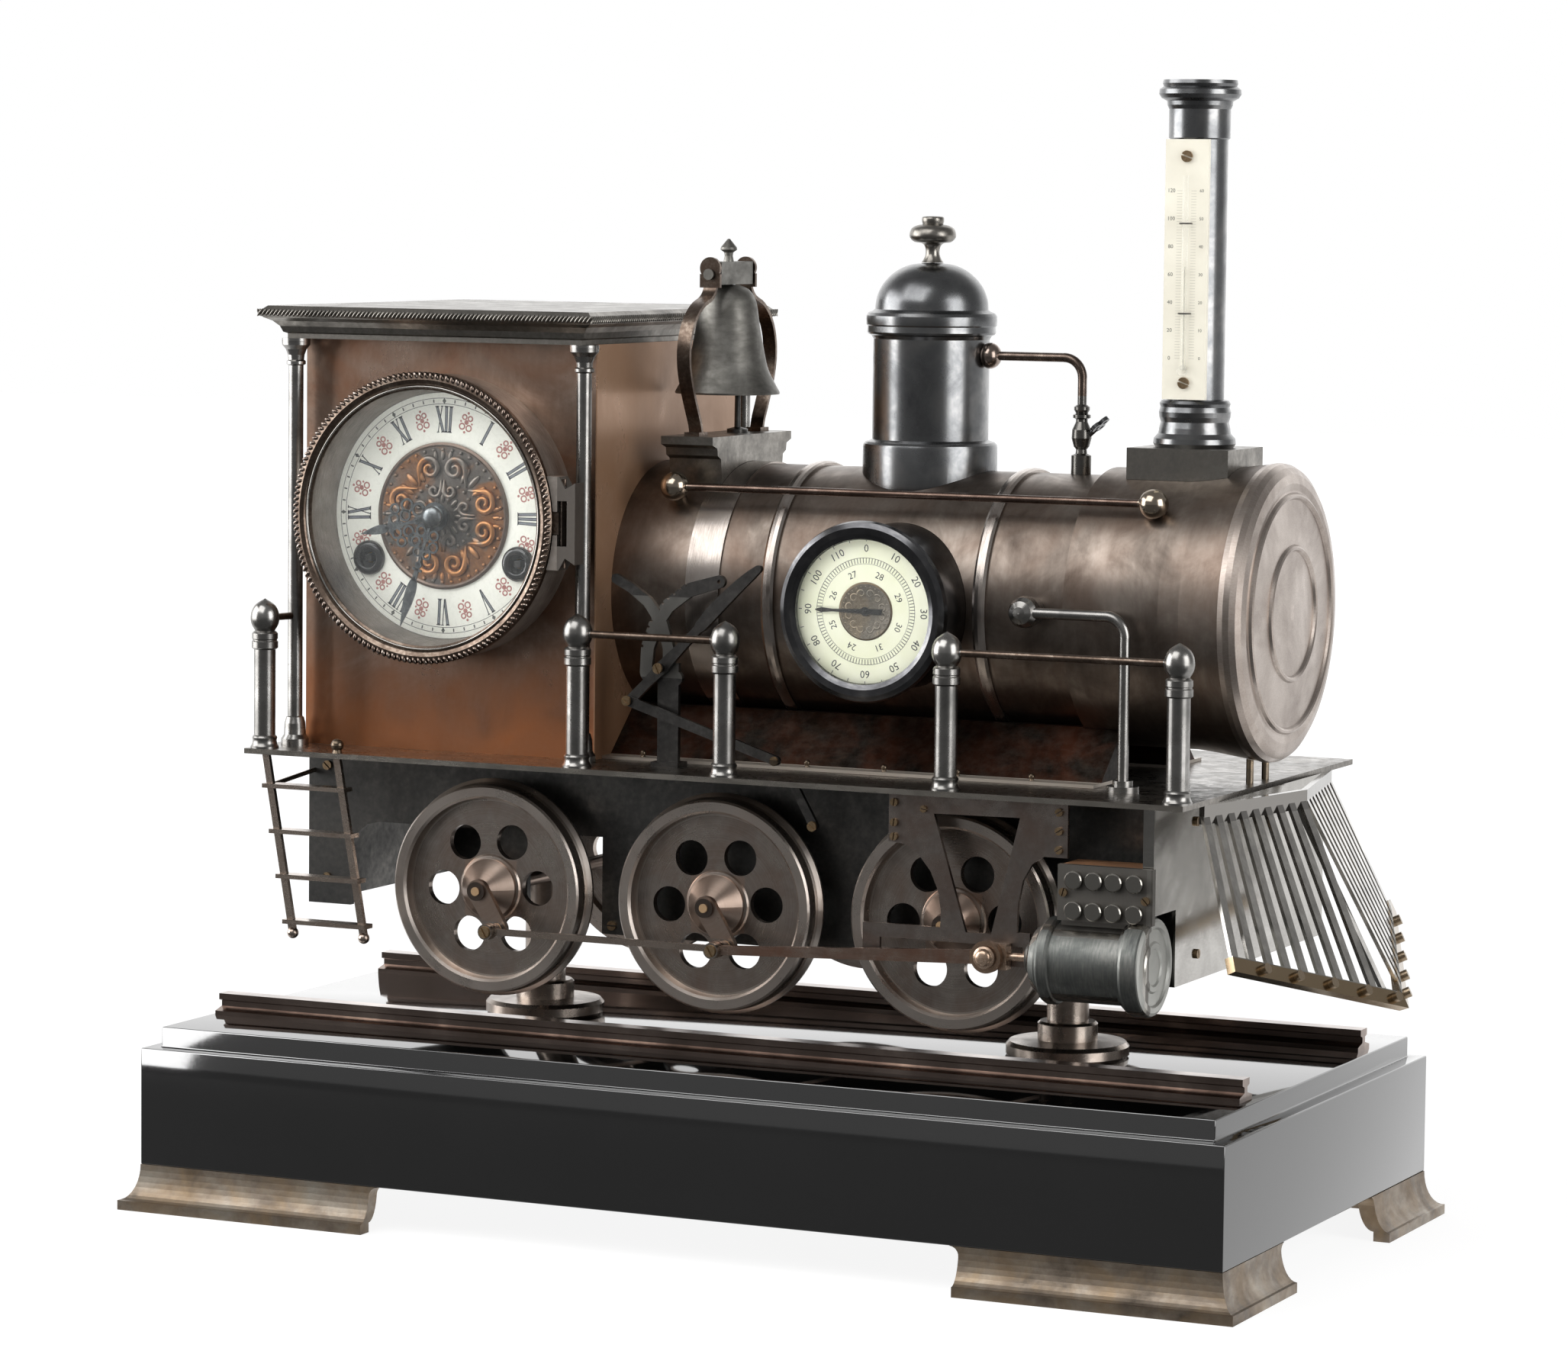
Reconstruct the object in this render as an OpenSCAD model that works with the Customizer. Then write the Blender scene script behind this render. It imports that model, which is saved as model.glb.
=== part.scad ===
// Locomotive clock: a steam-engine case with a clock, a barometer and a thermometer.
// Millimetres. +Z is up, +X is the engine's front, -Y is the side with the dials.
// The origin is under the middle of the whole clock, cowcatcher included, on the surface that it stands on.

/* [Plinth] */
// Length of the plinth along X
plinth_l = 480; // [400:1:560]
// Depth of the plinth along Y
plinth_d = 242; // [200:1:280]
// Height of the feet
foot_h = 18.7; // [14:0.1:24]
// Height of the plinth block above the feet
plinth_h = 48.9; // [40:0.1:60]
// Height of the step slab on the block
step_h = 8.5; // [6:0.1:12]
// How far the step slab is set in from the block
step_inset = 6.3; // [4:0.1:10]
// Length of a foot along the long side
foot_long = 109; // [80:1:130]
// Length of a foot along the short side
foot_short = 65; // [50:1:90]
// How far a foot flares out at the bottom
foot_flare = 7; // [4:0.5:10]

/* [Track] */
// Half the distance between the two rails
rail_y = 70; // [60:0.5:80]
// Height of a rail
rail_h = 9; // [7:0.1:12]
// Place of the rear pedestal along X
pedestal_rear_x = -113.5; // [-120:0.5:-100]
// Place of the front pedestal along X
pedestal_front_x = 126.5; // [122:0.5:135]

/* [Chassis] */
// Top of the footplate
deck_z = 193.1; // [180:0.1:205]
// Thickness of the footplate
deck_t = 2.2; // [1.5:0.1:3]
// Half width of the footplate
deck_y = 98.9; // [95:0.1:102]
// Height of the axles
axle_z = 138.8; // [132:0.1:145]
// Radius of an axle
axle_r = 3; // [2:0.1:4]
// Place of the rear axle
rear_x = -99.5; // [-105:0.1:-95]
// Place of the middle axle
middle_x = 4.3; // [0:0.1:10]
// Place of the front axle
front_x = 108; // [105:0.1:115]
// Radius of the tread of a wheel
wheel_r = 42.8; // [40:0.1:44]
// Radius of the flange of a wheel
flange_r = 45; // [43:0.1:47]
// Crank radius
crank_r = 17.8; // [15:0.1:19]
// Crank angle at rest, below the forward direction
crank_deg = 57; // [40:1:70]

/* [Engine] */
// Height of the boiler's centre line
boiler_z = 260.8; // [250:0.1:270]
// Radius of the boiler barrel
boiler_r = 52.6; // [50:0.1:55]
// Radius of the smokebox
smokebox_r = 56; // [54:0.1:58]
// Radius of the front rim
rim_r = 59.8; // [58:0.1:62]
// Where the boiler leaves the cab
boiler_x = -57; // [-60:0.5:-54]
// Where the smokebox starts
lap_x = 144; // [140:0.5:150]
// Place of the dome
dome_x = 62; // [55:0.5:68]
// Place of the bell
bell_x = -30.2; // [-34:0.1:-26]
// Height of the bell's pivot
bell_pivot_z = 391.5; // [385:0.1:395]
// Place of the chimney
chimney_x = 177.2; // [170:0.1:185]
// Centre line of the cylinder, across
cyl_y = -94; // [-96:0.1:-92]
// Centre line of the cylinder, up
cyl_z = 129.4; // [127:0.1:132]

/* [Cab and clock] */
// Back face of the cab
cab_x0 = -193; // [-196:0.5:-190]
// Front face of the cab
cab_x1 = -57; // [-60:0.5:-54]
// Half depth of the cab
cab_y = 66.5; // [60:0.5:70]
// Underside of the cornice
cornice_z = 363; // [355:0.5:370]
// Centre of the clock along X
clock_x = -125.8; // [-130:0.1:-120]
// Centre of the clock along Z
clock_z = 291; // [285:0.5:297]
// Radius of the dial
dial_r = 50; // [46:0.1:52]
// Angle of the minute hand, clockwise from twelve
minute_deg = 198; // [0:1:359]
// Angle of the hour hand, clockwise from twelve
hour_deg = 256.5; // [0:0.5:359]
// Centre of the barometer along X
baro_x = 67.8; // [64:0.1:72]
// Centre of the barometer along Z
baro_z = 260.2; // [256:0.1:264]

/* [Hidden] */
$fn = 72;
deck_under = deck_z - deck_t;
foot_t = 7;
flange_t = 1.4;
cow_top_end = [210.8, 74, 187.2];
cow_top_mid = [226.4, 0, 187.2];
cow_low_end = [231, 94.5, 132.6];
cow_low_mid = [268.4, 0, 108.8];
// Everything is drawn about the middle of the plinth. The cowcatcher's tip reaches past the plinth, so the
// middle of the whole clock is a little ahead of that, and every piece is moved back by as much.
cow_tip = cow_low_mid[0] + 3.41;
ahead = (cow_tip - plinth_l / 2 - foot_flare) / 2;
step_z = foot_h + plinth_h + step_h;
pin_dx = crank_r * cos(crank_deg);
pin_dz = -crank_r * sin(crank_deg);
cross_x = 131.8;
bracket_y0 = -92;
bracket_y1 = -90.2;
wind_dx = 34.9;
wind_dz = -18.6;
run_gap = 0.05;
post_x = [-197.3, -51.5, 14.5, 110.7, 207.8];
post_y = -93;
ball_z = 247.2;
ball_r = 6.4;
column_x = [-193.3, -58.6];
column_y = 75;
plate_x0 = 196;
plate_x1 = 200.5;

// Helpers

// Moves a piece from the plinth's middle to its place on the whole clock
module placed() translate([-ahead, 0, 0]) children();

// A flat piece drawn in X and Z, from y0 to y1
module slab_y(y0, y1) translate([0, y1, 0]) rotate([90, 0, 0]) linear_extrude(y1 - y0) children();

// A flat piece drawn in Y and Z, from x0 to x1
module slab_x(x0, x1) translate([x0, 0, 0]) rotate([90, 0, 90]) linear_extrude(x1 - x0) children();

// A round bar along Y
module round_y(x, z, y0, y1, r) translate([x, y1, z]) rotate([90, 0, 0]) cylinder(h = y1 - y0, r = r);

// A round bar along X
module round_x(y, z, x0, x1, r) translate([x0, y, z]) rotate([0, 90, 0]) cylinder(h = x1 - x0, r = r);

// A turned piece about Y: points are radius and distance towards -Y
module turned_y(x, z, points) translate([x, 0, z]) rotate([90, 0, 0]) rotate_extrude() polygon(points);

// A turned piece about X: points are radius and X
module turned_x(y, z, points) translate([0, y, z]) rotate([0, 90, 0]) rotate_extrude() polygon(points);

// A round bar between two points
module rod_between(a, b, r) {
    d = b - a;
    l = norm(d);
    translate(a) rotate([0, acos(d[2] / l), atan2(d[1], d[0])]) cylinder(h = l, r = r);
}

// A flat bar between two points, w wide and t thick, with its flat face towards n
module bar_between(a, b, w, t, n) {
    d = b - a;
    l = norm(d);
    u = d / l;
    v0 = cross(n, u);
    v = v0 / norm(v0);
    k = cross(u, v);
    multmatrix([[u[0], v[0], k[0], a[0]], [u[1], v[1], k[1], a[1]], [u[2], v[2], k[2], a[2]], [0, 0, 0, 1]])
        translate([0, -w / 2, -t / 2]) cube([l, w, t]);
}

// Unit direction of a path at point i
function way(p, i) = (p[min(i + 1, len(p) - 1)] - p[max(i - 1, 0)])
    / norm(p[min(i + 1, len(p) - 1)] - p[max(i - 1, 0)]);

// One side of a path: s is 1 for the left side and -1 for the right, w the half width at each point
function side_of(p, w, s) = [for (i = [0:len(p) - 1]) p[i] + s * w[i] * [-way(p, i)[1], way(p, i)[0]]];

// The round end of a path about c, facing direction d
function end_arc(c, d, r) = let (a = atan2(d[1], d[0]))
    [for (t = [75:-15:-75]) c + r * [cos(a + t), sin(a + t)]];

// A flat strip in 2D along a path, with half widths w and round ends
module strip_2d(p, w) {
    n = len(p) - 1;
    right = side_of(p, w, -1);
    polygon(concat(side_of(p, w, 1), end_arc(p[n], way(p, n), w[n]), [for (i = [n:-1:0]) right[i]],
        end_arc(p[0], -way(p, 0), w[0])));
}

// The outside of the boiler as a solid body, grown by g
module boiler_body(g) {
    turned_x(0, boiler_z, [[0, boiler_x], [boiler_r + g, boiler_x], [boiler_r + g, lap_x],
        [smokebox_r + g, lap_x], [smokebox_r + g, 184], [smokebox_r + 0.9 + g, 193],
        [smokebox_r + 2.2 + g, 202], [rim_r - 0.5 + g, 210], [rim_r + g, 214], [0, 214]]);
}

// Plinth and track

module plinth() color([0.05, 0.05, 0.06]) {
    translate([-plinth_l / 2, -plinth_d / 2, foot_h]) cube([plinth_l, plinth_d, plinth_h]);
    translate([-plinth_l / 2 + step_inset, -plinth_d / 2 + step_inset, foot_h + plinth_h])
        cube([plinth_l - 2 * step_inset, plinth_d - 2 * step_inset, step_h]);
}

// The cove of a foot: from the plinth's face out to the flat band at the bottom
function cove(face, flare, band) = [for (t = [0:10:90])
    [face + flare * (1 - cos(t)), foot_h - (foot_h - band) * sin(t)]];

module foot_profile(face, size) {
    band = 4;
    hook = 4;
    polygon(concat([[face - size, 0], [face + foot_flare, 0]],
        [for (i = [9:-1:0]) cove(face, foot_flare, band)[i]],
        [[face - size - hook, foot_h]],
        [for (t = [15:15:90]) [face - size - hook * (1 - sin(t)), foot_h - hook * (1 - cos(t))]]));
}

// The space behind a foot's boards, seen along one of them
module foot_hollow(face) {
    band = 4;
    polygon(concat([[0, -1], [face + foot_flare - foot_t, -1]],
        [for (i = [9:-1:0]) cove(face - foot_t, foot_flare, band)[i]],
        [[face - foot_t, foot_h + 1], [0, foot_h + 1]]));
}

// A foot is two boards in an L, with the cove running round the corner
module foot() difference() {
    intersection() {
        slab_y(0, plinth_d) foot_profile(plinth_l / 2, foot_long);
        slab_x(0, plinth_l) foot_profile(plinth_d / 2, foot_short);
    }
    intersection() {
        slab_y(0, plinth_d) foot_hollow(plinth_l / 2);
        slab_x(0, plinth_l) foot_hollow(plinth_d / 2);
    }
}

module feet() color([0.55, 0.47, 0.38])
    for (mx = [0, 1]) for (my = [0, 1]) mirror([mx, 0, 0]) mirror([0, my, 0]) foot();

module rails() color([0.16, 0.11, 0.09]) for (s = [-1, 1]) translate([0, s * rail_y, step_z])
    slab_x(-230.5, 229.5) polygon([[-7, 0], [7, 0], [7, 2], [1.6, 3.4], [1.6, 5.6], [3.8, 6.4],
        [3.8, rail_h], [-3.8, rail_h], [-3.8, 6.4], [-1.6, 5.6], [-1.6, 3.4], [-7, 2]]);

module pedestals() color([0.35, 0.3, 0.26]) for (x = [pedestal_rear_x, pedestal_front_x])
    translate([x, 0, 0]) rotate_extrude() polygon([[0, step_z], [24.2, step_z], [25.2, step_z + 1],
        [25.2, step_z + 4.6], [23.8, step_z + 6.2], [12.3, step_z + 6.8], [12.3, step_z + 13.4],
        [11.3, step_z + 14.4], [8.6, step_z + 14.4], [8.6, deck_under], [0, deck_under]]);

// Chassis

module side_plate_2d() difference() {
    union() {
        polygon([[-195, deck_under], [-195, 124.9], [-174.8, 124.9], [-174, 150], [-171.5, 155.8],
            [-167, 159.4], [-161, 160.8], [-108, 160.8], [-108, 131.5], [-91, 131.5], [-91, 160.8],
            [-56.2, 160.8], [-56.2, 120.8], [plate_x0, 120.8], [plate_x0, deck_under]]);
    }
    for (x = [rear_x, middle_x, front_x]) translate([x, axle_z]) circle(axle_r + run_gap);
}

module chassis() color([0.16, 0.16, 0.17]) {
    slab_y(-60, -57) side_plate_2d();
    slab_y(57, 60) side_plate_2d();
    translate([-195, -57.5, 124.9]) cube([3, 115, deck_under - 124.9]);
}

module front_plate() color([0.62, 0.62, 0.62]) difference() {
    translate([plate_x0, -98, 119]) cube([plate_x1 - plate_x0, 196, deck_under - 119]);
    translate([plate_x0 - 1, -99, 118]) cube([7, 25.5, 31.5]);
}

// One side of the cowcatcher, with bars between the top band and the bottom bar
module cow_wing() intersection() {
    union() {
        out = cross(cow_low_end - cow_top_end, cow_top_mid - cow_top_end);
        far_top = cow_top_mid + 0.1 * (cow_top_mid - cow_top_end);
        far_low = cow_low_mid + 0.1 * (cow_low_mid - cow_low_end);
        bar_between(cow_top_end, far_top, 7.4, 2.4, cross(cow_top_mid - cow_top_end, [0, 0, 1]));
        bar_between(cow_low_end, far_low, 6.4, 4, out);
        for (i = [0:8]) {
            a = cow_top_end + (cow_top_mid - cow_top_end) * (0.025 + 0.118 * i);
            b = cow_low_end + (cow_low_mid - cow_low_end) * (0.03 + 0.1022 * i);
            bar_between(a, b, 4.3, 1.5, out);
        }
    }
    translate([150, 0.01, 50]) cube([200, 200, 200]);
}

module cowcatcher() color([0.6, 0.59, 0.57]) {
    cow_wing();
    mirror([0, 1, 0]) cow_wing();
    bar_between(cow_top_mid - [3.6, 0, 1], cow_low_mid - [5.8, 0, -0.6], 4, 1.6, [1, 0, 0.4]);
}

module footplate() color([0.2, 0.2, 0.21])
    translate([-203.7, -deck_y, deck_under]) cube([416.1, 2 * deck_y, deck_t]);

// Boiler

module boiler_skirt() color([0.4, 0.25, 0.18]) difference() {
    slab_x(boiler_x + 0.1, 160) polygon([[-60, deck_z], [60, deck_z], [60, deck_z + flange_t],
        [52, deck_z + flange_t], [30, deck_z + 21], [-30, deck_z + 21], [-52, deck_z + flange_t],
        [-60, deck_z + flange_t]]);
    boiler_body(0.05);
    round_x(0, boiler_z, -23.1, -7.9, boiler_r + 0.85);
    round_x(0, boiler_z, 11.3, 16.8, boiler_r + 1.95);
    round_x(0, boiler_z, 104.1, 109.9, boiler_r + 1.95);
    translate([boiler_x - 1, -24, deck_z - 1]) cube([300, 48, 40]);
}

module boiler() color([0.32, 0.24, 0.21]) difference() {
    turned_x(0, boiler_z, [[boiler_r - 1.6, boiler_x], [boiler_r, boiler_x], [boiler_r, lap_x],
        [smokebox_r, lap_x], [smokebox_r, 184], [smokebox_r + 0.9, 193], [smokebox_r + 2.2, 202],
        [rim_r - 0.5, 210], [rim_r - 2.3, 210], [smokebox_r + 0.2, 200], [smokebox_r - 1.8, 184],
        [smokebox_r - 1.8, lap_x + 3], [boiler_r - 1.6, lap_x + 1]]);
    round_y(baro_x, baro_z, -60, -20, 33.5);
}

module boiler_bands() color([0.5, 0.45, 0.42]) {
    turned_x(0, boiler_z, [[boiler_r, -23], [boiler_r + 0.75, -23], [boiler_r + 0.75, -8], [boiler_r, -8]]);
    for (x = [14.05, 107]) turned_x(0, boiler_z, [[boiler_r, x - 2.7], [boiler_r + 1.1, x - 2.7],
        [boiler_r + 1.75, x - 1.6], [boiler_r + 1.9, x], [boiler_r + 1.75, x + 1.6],
        [boiler_r + 1.1, x + 2.7], [boiler_r, x + 2.7]]);
}

module smokebox_front() color([0.5, 0.46, 0.42]) turned_x(0, boiler_z, [[0, 207.5], [rim_r - 2.9, 207.5],
    [rim_r - 2.4, 210.05], [rim_r - 0.45, 210.05], [rim_r, 212.4], [rim_r - 0.4, 214.8], [rim_r - 1.8, 217],
    [rim_r - 4.4, 218.6], [rim_r - 8, 219.3], [49, 219], [48.2, 219.1], [47.6, 220.2], [46.8, 220.6],
    [46, 220.2], [45.4, 219.3], [27.6, 219.9], [27, 220.9], [26.2, 221.3], [25.4, 220.9],
    [24.8, 220], [0, 220.6]]);

// Bell

module bell_saddle() color([0.27, 0.26, 0.25]) difference() {
    slab_x(bell_x - 11.8, bell_x + 11.8) polygon([[-28, 300], [28, 300], [30, 316], [33, 317.5], [33.5, 320.5],
        [38, 322], [38, 325.3], [-38, 325.3], [-38, 322], [-33.5, 320.5], [-33, 317.5], [-30, 316]]);
    round_x(0, boiler_z, bell_x - 20, bell_x + 20, boiler_r + 0.85);
}

// The bow of an arm, as Y and Z along its middle
arm_path = [[17, 388], [17.3, 385], [21, 381.6], [29, 378.6], [36, 373], [40.4, 365], [41.2, 356],
    [38.6, 346.5], [33.6, 336.5], [30.2, 330], [29, 325.3]];

// A strip of even thickness along a path
function path_side(p, w) = [for (i = [0:len(p) - 1]) let (
    a = p[max(i - 1, 0)], b = p[min(i + 1, len(p) - 1)], d = (b - a) / norm(b - a))
    p[i] + [-d[1], d[0]] * w];

module bell_arms() color([0.33, 0.22, 0.17]) for (s = [0, 1]) mirror([0, s, 0]) translate([bell_x, 0, 0]) {
    difference() {
        union() {
            slab_x(-2.9, 2.9) polygon(concat(path_side(arm_path, 0.8),
                [for (i = [len(arm_path) - 1:-1:0]) path_side(arm_path, -0.8)[i]]));
            round_y(0, 394, 16.2, 17.8, 4.6);
            translate([-4.6, 16.2, 386]) cube([9.2, 1.6, 8]);
            translate([-3.4, 25.5, 325.3]) cube([6.8, 8, 1.6]);
        }
        round_y(0, bell_pivot_z, 15, 20, 1.45);
        translate([-10, 10, 315.3]) cube([20, 40, 10]);
    }
}

module bell() color([0.36, 0.37, 0.34]) translate([bell_x, 0, 0]) rotate_extrude() polygon([[0, 387.2],
    [4.6, 387], [8.2, 385.4], [10.6, 382.6], [12, 378.6], [13, 371.6], [14.6, 362.6], [16.6, 353.2],
    [19.4, 347], [21.8, 342.6], [21.6, 341.8], [20.6, 341.8], [17.8, 346.6], [15, 353.2], [13, 362.6],
    [11.4, 371.6], [10.4, 378.2], [9.2, 381.4], [7.4, 383.6], [0, 385]]);

module bell_yoke() color([0.42, 0.42, 0.4]) translate([bell_x, 0, 0]) {
    translate([-4, -15, 387.25]) cube([8, 30, 9.4]);
    round_y(0, bell_pivot_z, -18.4, 18.4, 1.4);
    round_y(0, bell_pivot_z, -19.4, -18.3, 2.3);
    round_y(0, bell_pivot_z, 18.3, 19.4, 2.3);
    rotate_extrude() polygon([[0, 396.6], [2.2, 396.6], [1.7, 399], [1.9, 400.4], [3.5, 401.6], [3.3, 402.6],
        [0.5, 406], [0, 406.1]]);
}

module bell_striker() color([0.16, 0.16, 0.16]) translate([bell_x, 10, 0]) rotate_extrude()
    polygon([[0, 325.3], [4.4, 325.3], [4.4, 326.8], [1.3, 327.6], [1.1, 346], [2, 347], [2.2, 348.4],
        [1.6, 350], [0, 350.6]]);

// Dome and steam pipe

module dome() color([0.26, 0.27, 0.28]) difference() {
    translate([dome_x, 0, 0]) rotate_extrude() polygon([[25.8, 292], [27.6, 292], [27.6, 322.6], [26.8, 324.4],
        [23.8, 325.4], [23.8, 366.6], [24.6, 368], [26.2, 369.4], [26.2, 372], [26.8, 373], [26.8, 376],
        [25.6, 377.4], [23.2, 378.6], [22.6, 382.8], [20.8, 387.4], [17.6, 391.6], [13.2, 395],
        [7.6, 397], [0, 397.6], [0, 396], [7, 395.4], [12.4, 393.6], [16.4, 390.4], [19.4, 386.6],
        [21, 382.4], [21.6, 378], [22.2, 366], [22.2, 326.8], [25.8, 322]]);
    boiler_body(0.05);
}

module dome_finial() color([0.26, 0.27, 0.28]) translate([dome_x, 0, 0]) rotate_extrude() polygon([[0, 397.65],
    [4.6, 397.65], [3.9, 398.6], [2.9, 401], [3.1, 404], [4.6, 405.6], [7.4, 406], [9.2, 407.6],
    [9.5, 409.4], [8.6, 411.6], [6.4, 412.8], [4.2, 413.2], [4.5, 414.4], [4.5, 415.8], [3.6, 416.4],
    [0, 416.6]]);

pipe_z = 360.3;
tap_x = 128.6;
tap_z = 326.5;
key_dir = [cos(42), 0, sin(42)];

module steam_pipe() color([0.3, 0.27, 0.25]) difference() {
    union() {
        translate([dome_x + 25.8, 0, pipe_z]) sphere(3.9);
        round_x(0, pipe_z, dome_x + 26, tap_x - 7.6, 1.85);
        elbow_down(tap_x, 0, pipe_z, 1.9);
        translate([tap_x, 0, 0]) rotate_extrude() polygon([[0, 312], [4.1, 312], [4.1, 321], [2.4, 321.8],
            [2.2, 323.4], [3.2, 324.6], [4.1, 328], [3.9, 331.4], [2.4, 334.6], [2.4, 335.6], [3.6, 336.2],
            [3.6, 337.4], [2.4, 338], [3.2, 339.4], [3.2, 340.6], [1.85, 341.6], [1.85, 352.7], [0, 352.7]]);
    }
    round_z(dome_x, 0, 300, 400, 23.85);
    boiler_body(0.05);
    rod_between([tap_x, 0, tap_z], [tap_x, 0, tap_z] + key_dir * 12, 1.25);
}

module round_z(x, y, z0, z1, r) translate([x, y, z0]) cylinder(h = z1 - z0, r = r);

module tap_key() color([0.22, 0.22, 0.23]) translate([tap_x, 0, tap_z]) rotate([0, -42, 0]) {
    round_x(0, 0, 0.3, 8.4, 1.2);
    slab_z(-0.8, 0.8) difference() {
        union() {
            translate([9.4, 2]) circle(2.3);
            translate([9.4, -2]) circle(2.3);
            translate([12.8, 0]) circle(2.3);
        }
        translate([9.8, 2.1]) circle(1);
        translate([9.8, -2.1]) circle(1);
        translate([12.9, 0]) circle(1);
    }
}

module slab_z(z0, z1) translate([0, 0, z0]) linear_extrude(z1 - z0) children();

// Chimney and thermometer

module chimney_block() color([0.3, 0.3, 0.29]) difference() {
    translate([chimney_x - 21.2, -20, 308]) cube([43, 40, 17.8]);
    boiler_body(0.05);
}

module chimney() color([0.27, 0.28, 0.29]) translate([chimney_x, 0, 0]) rotate_extrude() polygon([[8.6, 325.8],
    [15.6, 325.8], [16.6, 327.4], [16.4, 329.4], [14.6, 331.4], [14.2, 333.6], [13.6, 336], [14.2, 338],
    [14.4, 340], [13.8, 342], [14.2, 343.4], [13.4, 344.6], [11.5, 345], [11.5, 448.4], [12.3, 449],
    [12.3, 460.4], [13, 462], [13.2, 463.6], [15.4, 464.8], [16.4, 466.4], [16.2, 468.2], [14.6, 469.4],
    [15, 470.6], [14.7, 472], [9.8, 472], [9, 470], [8.6, 466]]);

therm_y0 = -13.2;

module thermometer_plate() color([0.88, 0.86, 0.78])
    translate([chimney_x - 9.2, therm_y0, 345.2]) cube([18.4, 1.6, 103.2]);

module thermometer_tube() color([0.75, 0.78, 0.8]) {
    round_z(chimney_x, therm_y0 - 1.2, 358, 434, 1.1);
    translate([chimney_x, therm_y0 - 2.2, 356.6]) sphere(2.1);
}

// Barometer

module barometer_case() color([0.1, 0.1, 0.11]) turned_y(baro_x, baro_z, [[0, 40], [33.4, 40], [33.4, 75],
    [35.4, 75.4], [36.2, 77.2], [35.6, 79.3], [33.6, 80.5], [31, 80.3], [29, 79.4], [28.6, 78],
    [31.5, 78], [31.5, 42], [0, 42]]);

module barometer_dial() color([0.88, 0.88, 0.74]) difference() {
    round_y(baro_x, baro_z, -75.4, -74.4, 31.4);
    round_y(baro_x, baro_z, -80, -70, 0.8);
}

module barometer_glass() color([0.85, 0.9, 0.92, 0.3]) round_y(baro_x, baro_z, -78, -77.1, 31.4);

module barometer_needle() color([0.08, 0.08, 0.1]) {
    slab_y(-76.4, -76) {
        translate([baro_x, baro_z]) circle(1.8);
        polygon([[baro_x - 21.6, baro_z + 0.2], [baro_x - 19, baro_z + 1], [baro_x - 14, baro_z + 0.5],
            [baro_x, baro_z + 1], [baro_x + 7, baro_z + 1.2], [baro_x + 7, baro_z - 1.2], [baro_x, baro_z - 1],
            [baro_x - 14, baro_z - 0.5], [baro_x - 19, baro_z - 1], [baro_x - 21.6, baro_z - 0.2]]);
    }
    round_y(baro_x, baro_z, -76.8, -60, 0.74);
}

// Cab

module cab() color([0.42, 0.26, 0.18]) difference() {
    translate([cab_x0, -cab_y, deck_z]) cube([cab_x1 - cab_x0, 2 * cab_y, cornice_z - deck_z]);
    translate([cab_x0 + 1.6, -cab_y + 1.6, deck_z - 1])
        cube([cab_x1 - cab_x0 - 3.2, 2 * cab_y - 3.2, cornice_z - deck_z + 2]);
    round_y(clock_x, clock_z, -80, -50, 46);
}

roof_mid = (-204.2 - 49) / 2;

module cornice_profile(half) polygon([[-half + 9, cornice_z], [half - 9, cornice_z], [half - 9, cornice_z + 2],
    [half - 7.6, cornice_z + 2.6], [half - 6.6, cornice_z + 5], [half - 4.4, cornice_z + 7.2],
    [half - 1.6, cornice_z + 8.6], [half - 1.2, cornice_z + 9], [half, cornice_z + 9.8],
    [half, cornice_z + 11.2],
    [half - 1.2, cornice_z + 12], [half - 3, cornice_z + 13.5], [-half + 3, cornice_z + 13.5],
    [-half + 1.2, cornice_z + 12], [-half, cornice_z + 11.2], [-half, cornice_z + 9.8],
    [-half + 1.2, cornice_z + 9], [-half + 1.6, cornice_z + 8.6], [-half + 4.4, cornice_z + 7.2],
    [-half + 6.6, cornice_z + 5], [-half + 7.6, cornice_z + 2.6], [-half + 9, cornice_z + 2]]);

module cab_roof() color([0.28, 0.28, 0.29]) difference() {
    intersection() {
        slab_x(-210, -40) cornice_profile(87.7);
        translate([roof_mid, 0, 0]) slab_y(-100, 100) cornice_profile(77.6);
    }
    translate([cab_x0 + 6, -60, cornice_z - 1]) cube([cab_x1 - cab_x0 - 12, 120, 11]);
}

module cab_columns() color([0.27, 0.27, 0.28]) for (x = column_x) for (s = [-1, 1])
    translate([x, s * column_y, 0])
    rotate_extrude() polygon([[0, deck_z], [5.8, deck_z], [5.8, deck_z + 2.6], [4.6, deck_z + 4.4],
        [4.4, deck_z + 9], [3.7, deck_z + 11.6], [3.1, deck_z + 12], [3.1, 351.6], [4, 352.2], [4, 353.4],
        [3.3, 354], [3.5, 356], [4.4, 358.4], [5.9, 360.2], [6, 362], [6, cornice_z], [0, cornice_z]]);

// Clock

module clock_drum() color([0.36, 0.25, 0.2]) {
    turned_y(clock_x, clock_z, [[44, cab_y], [58.6, cab_y], [58.6, 84.6], [57.6, 85], [55.8, 85],
        [51, 70.1], [51, 68.8], [44, 68.8]]);
    difference() {
        slab_y(-88.5, -80.5) difference() {
            translate([-72, clock_z - 19]) square([16.5, 38]);
            translate([hinge_x - 2.2, clock_z - 9.2]) square([4.4, 18.4]);
            translate([clock_x, clock_z]) circle(58.5);
        }
        round_y(clock_x, clock_z, -95, -84.95, 60.4);
        translate([hinge_x - 14, -95, clock_z - 4.8]) cube([14, 10.2, 9.6]);
        round_z(hinge_x, hinge_y, clock_z - 18.4, clock_z + 18.4, 0.95);
        lug_corner();
        translate([0, 0, 2 * clock_z]) mirror([0, 0, 1]) lug_corner();
    }
}

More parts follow.
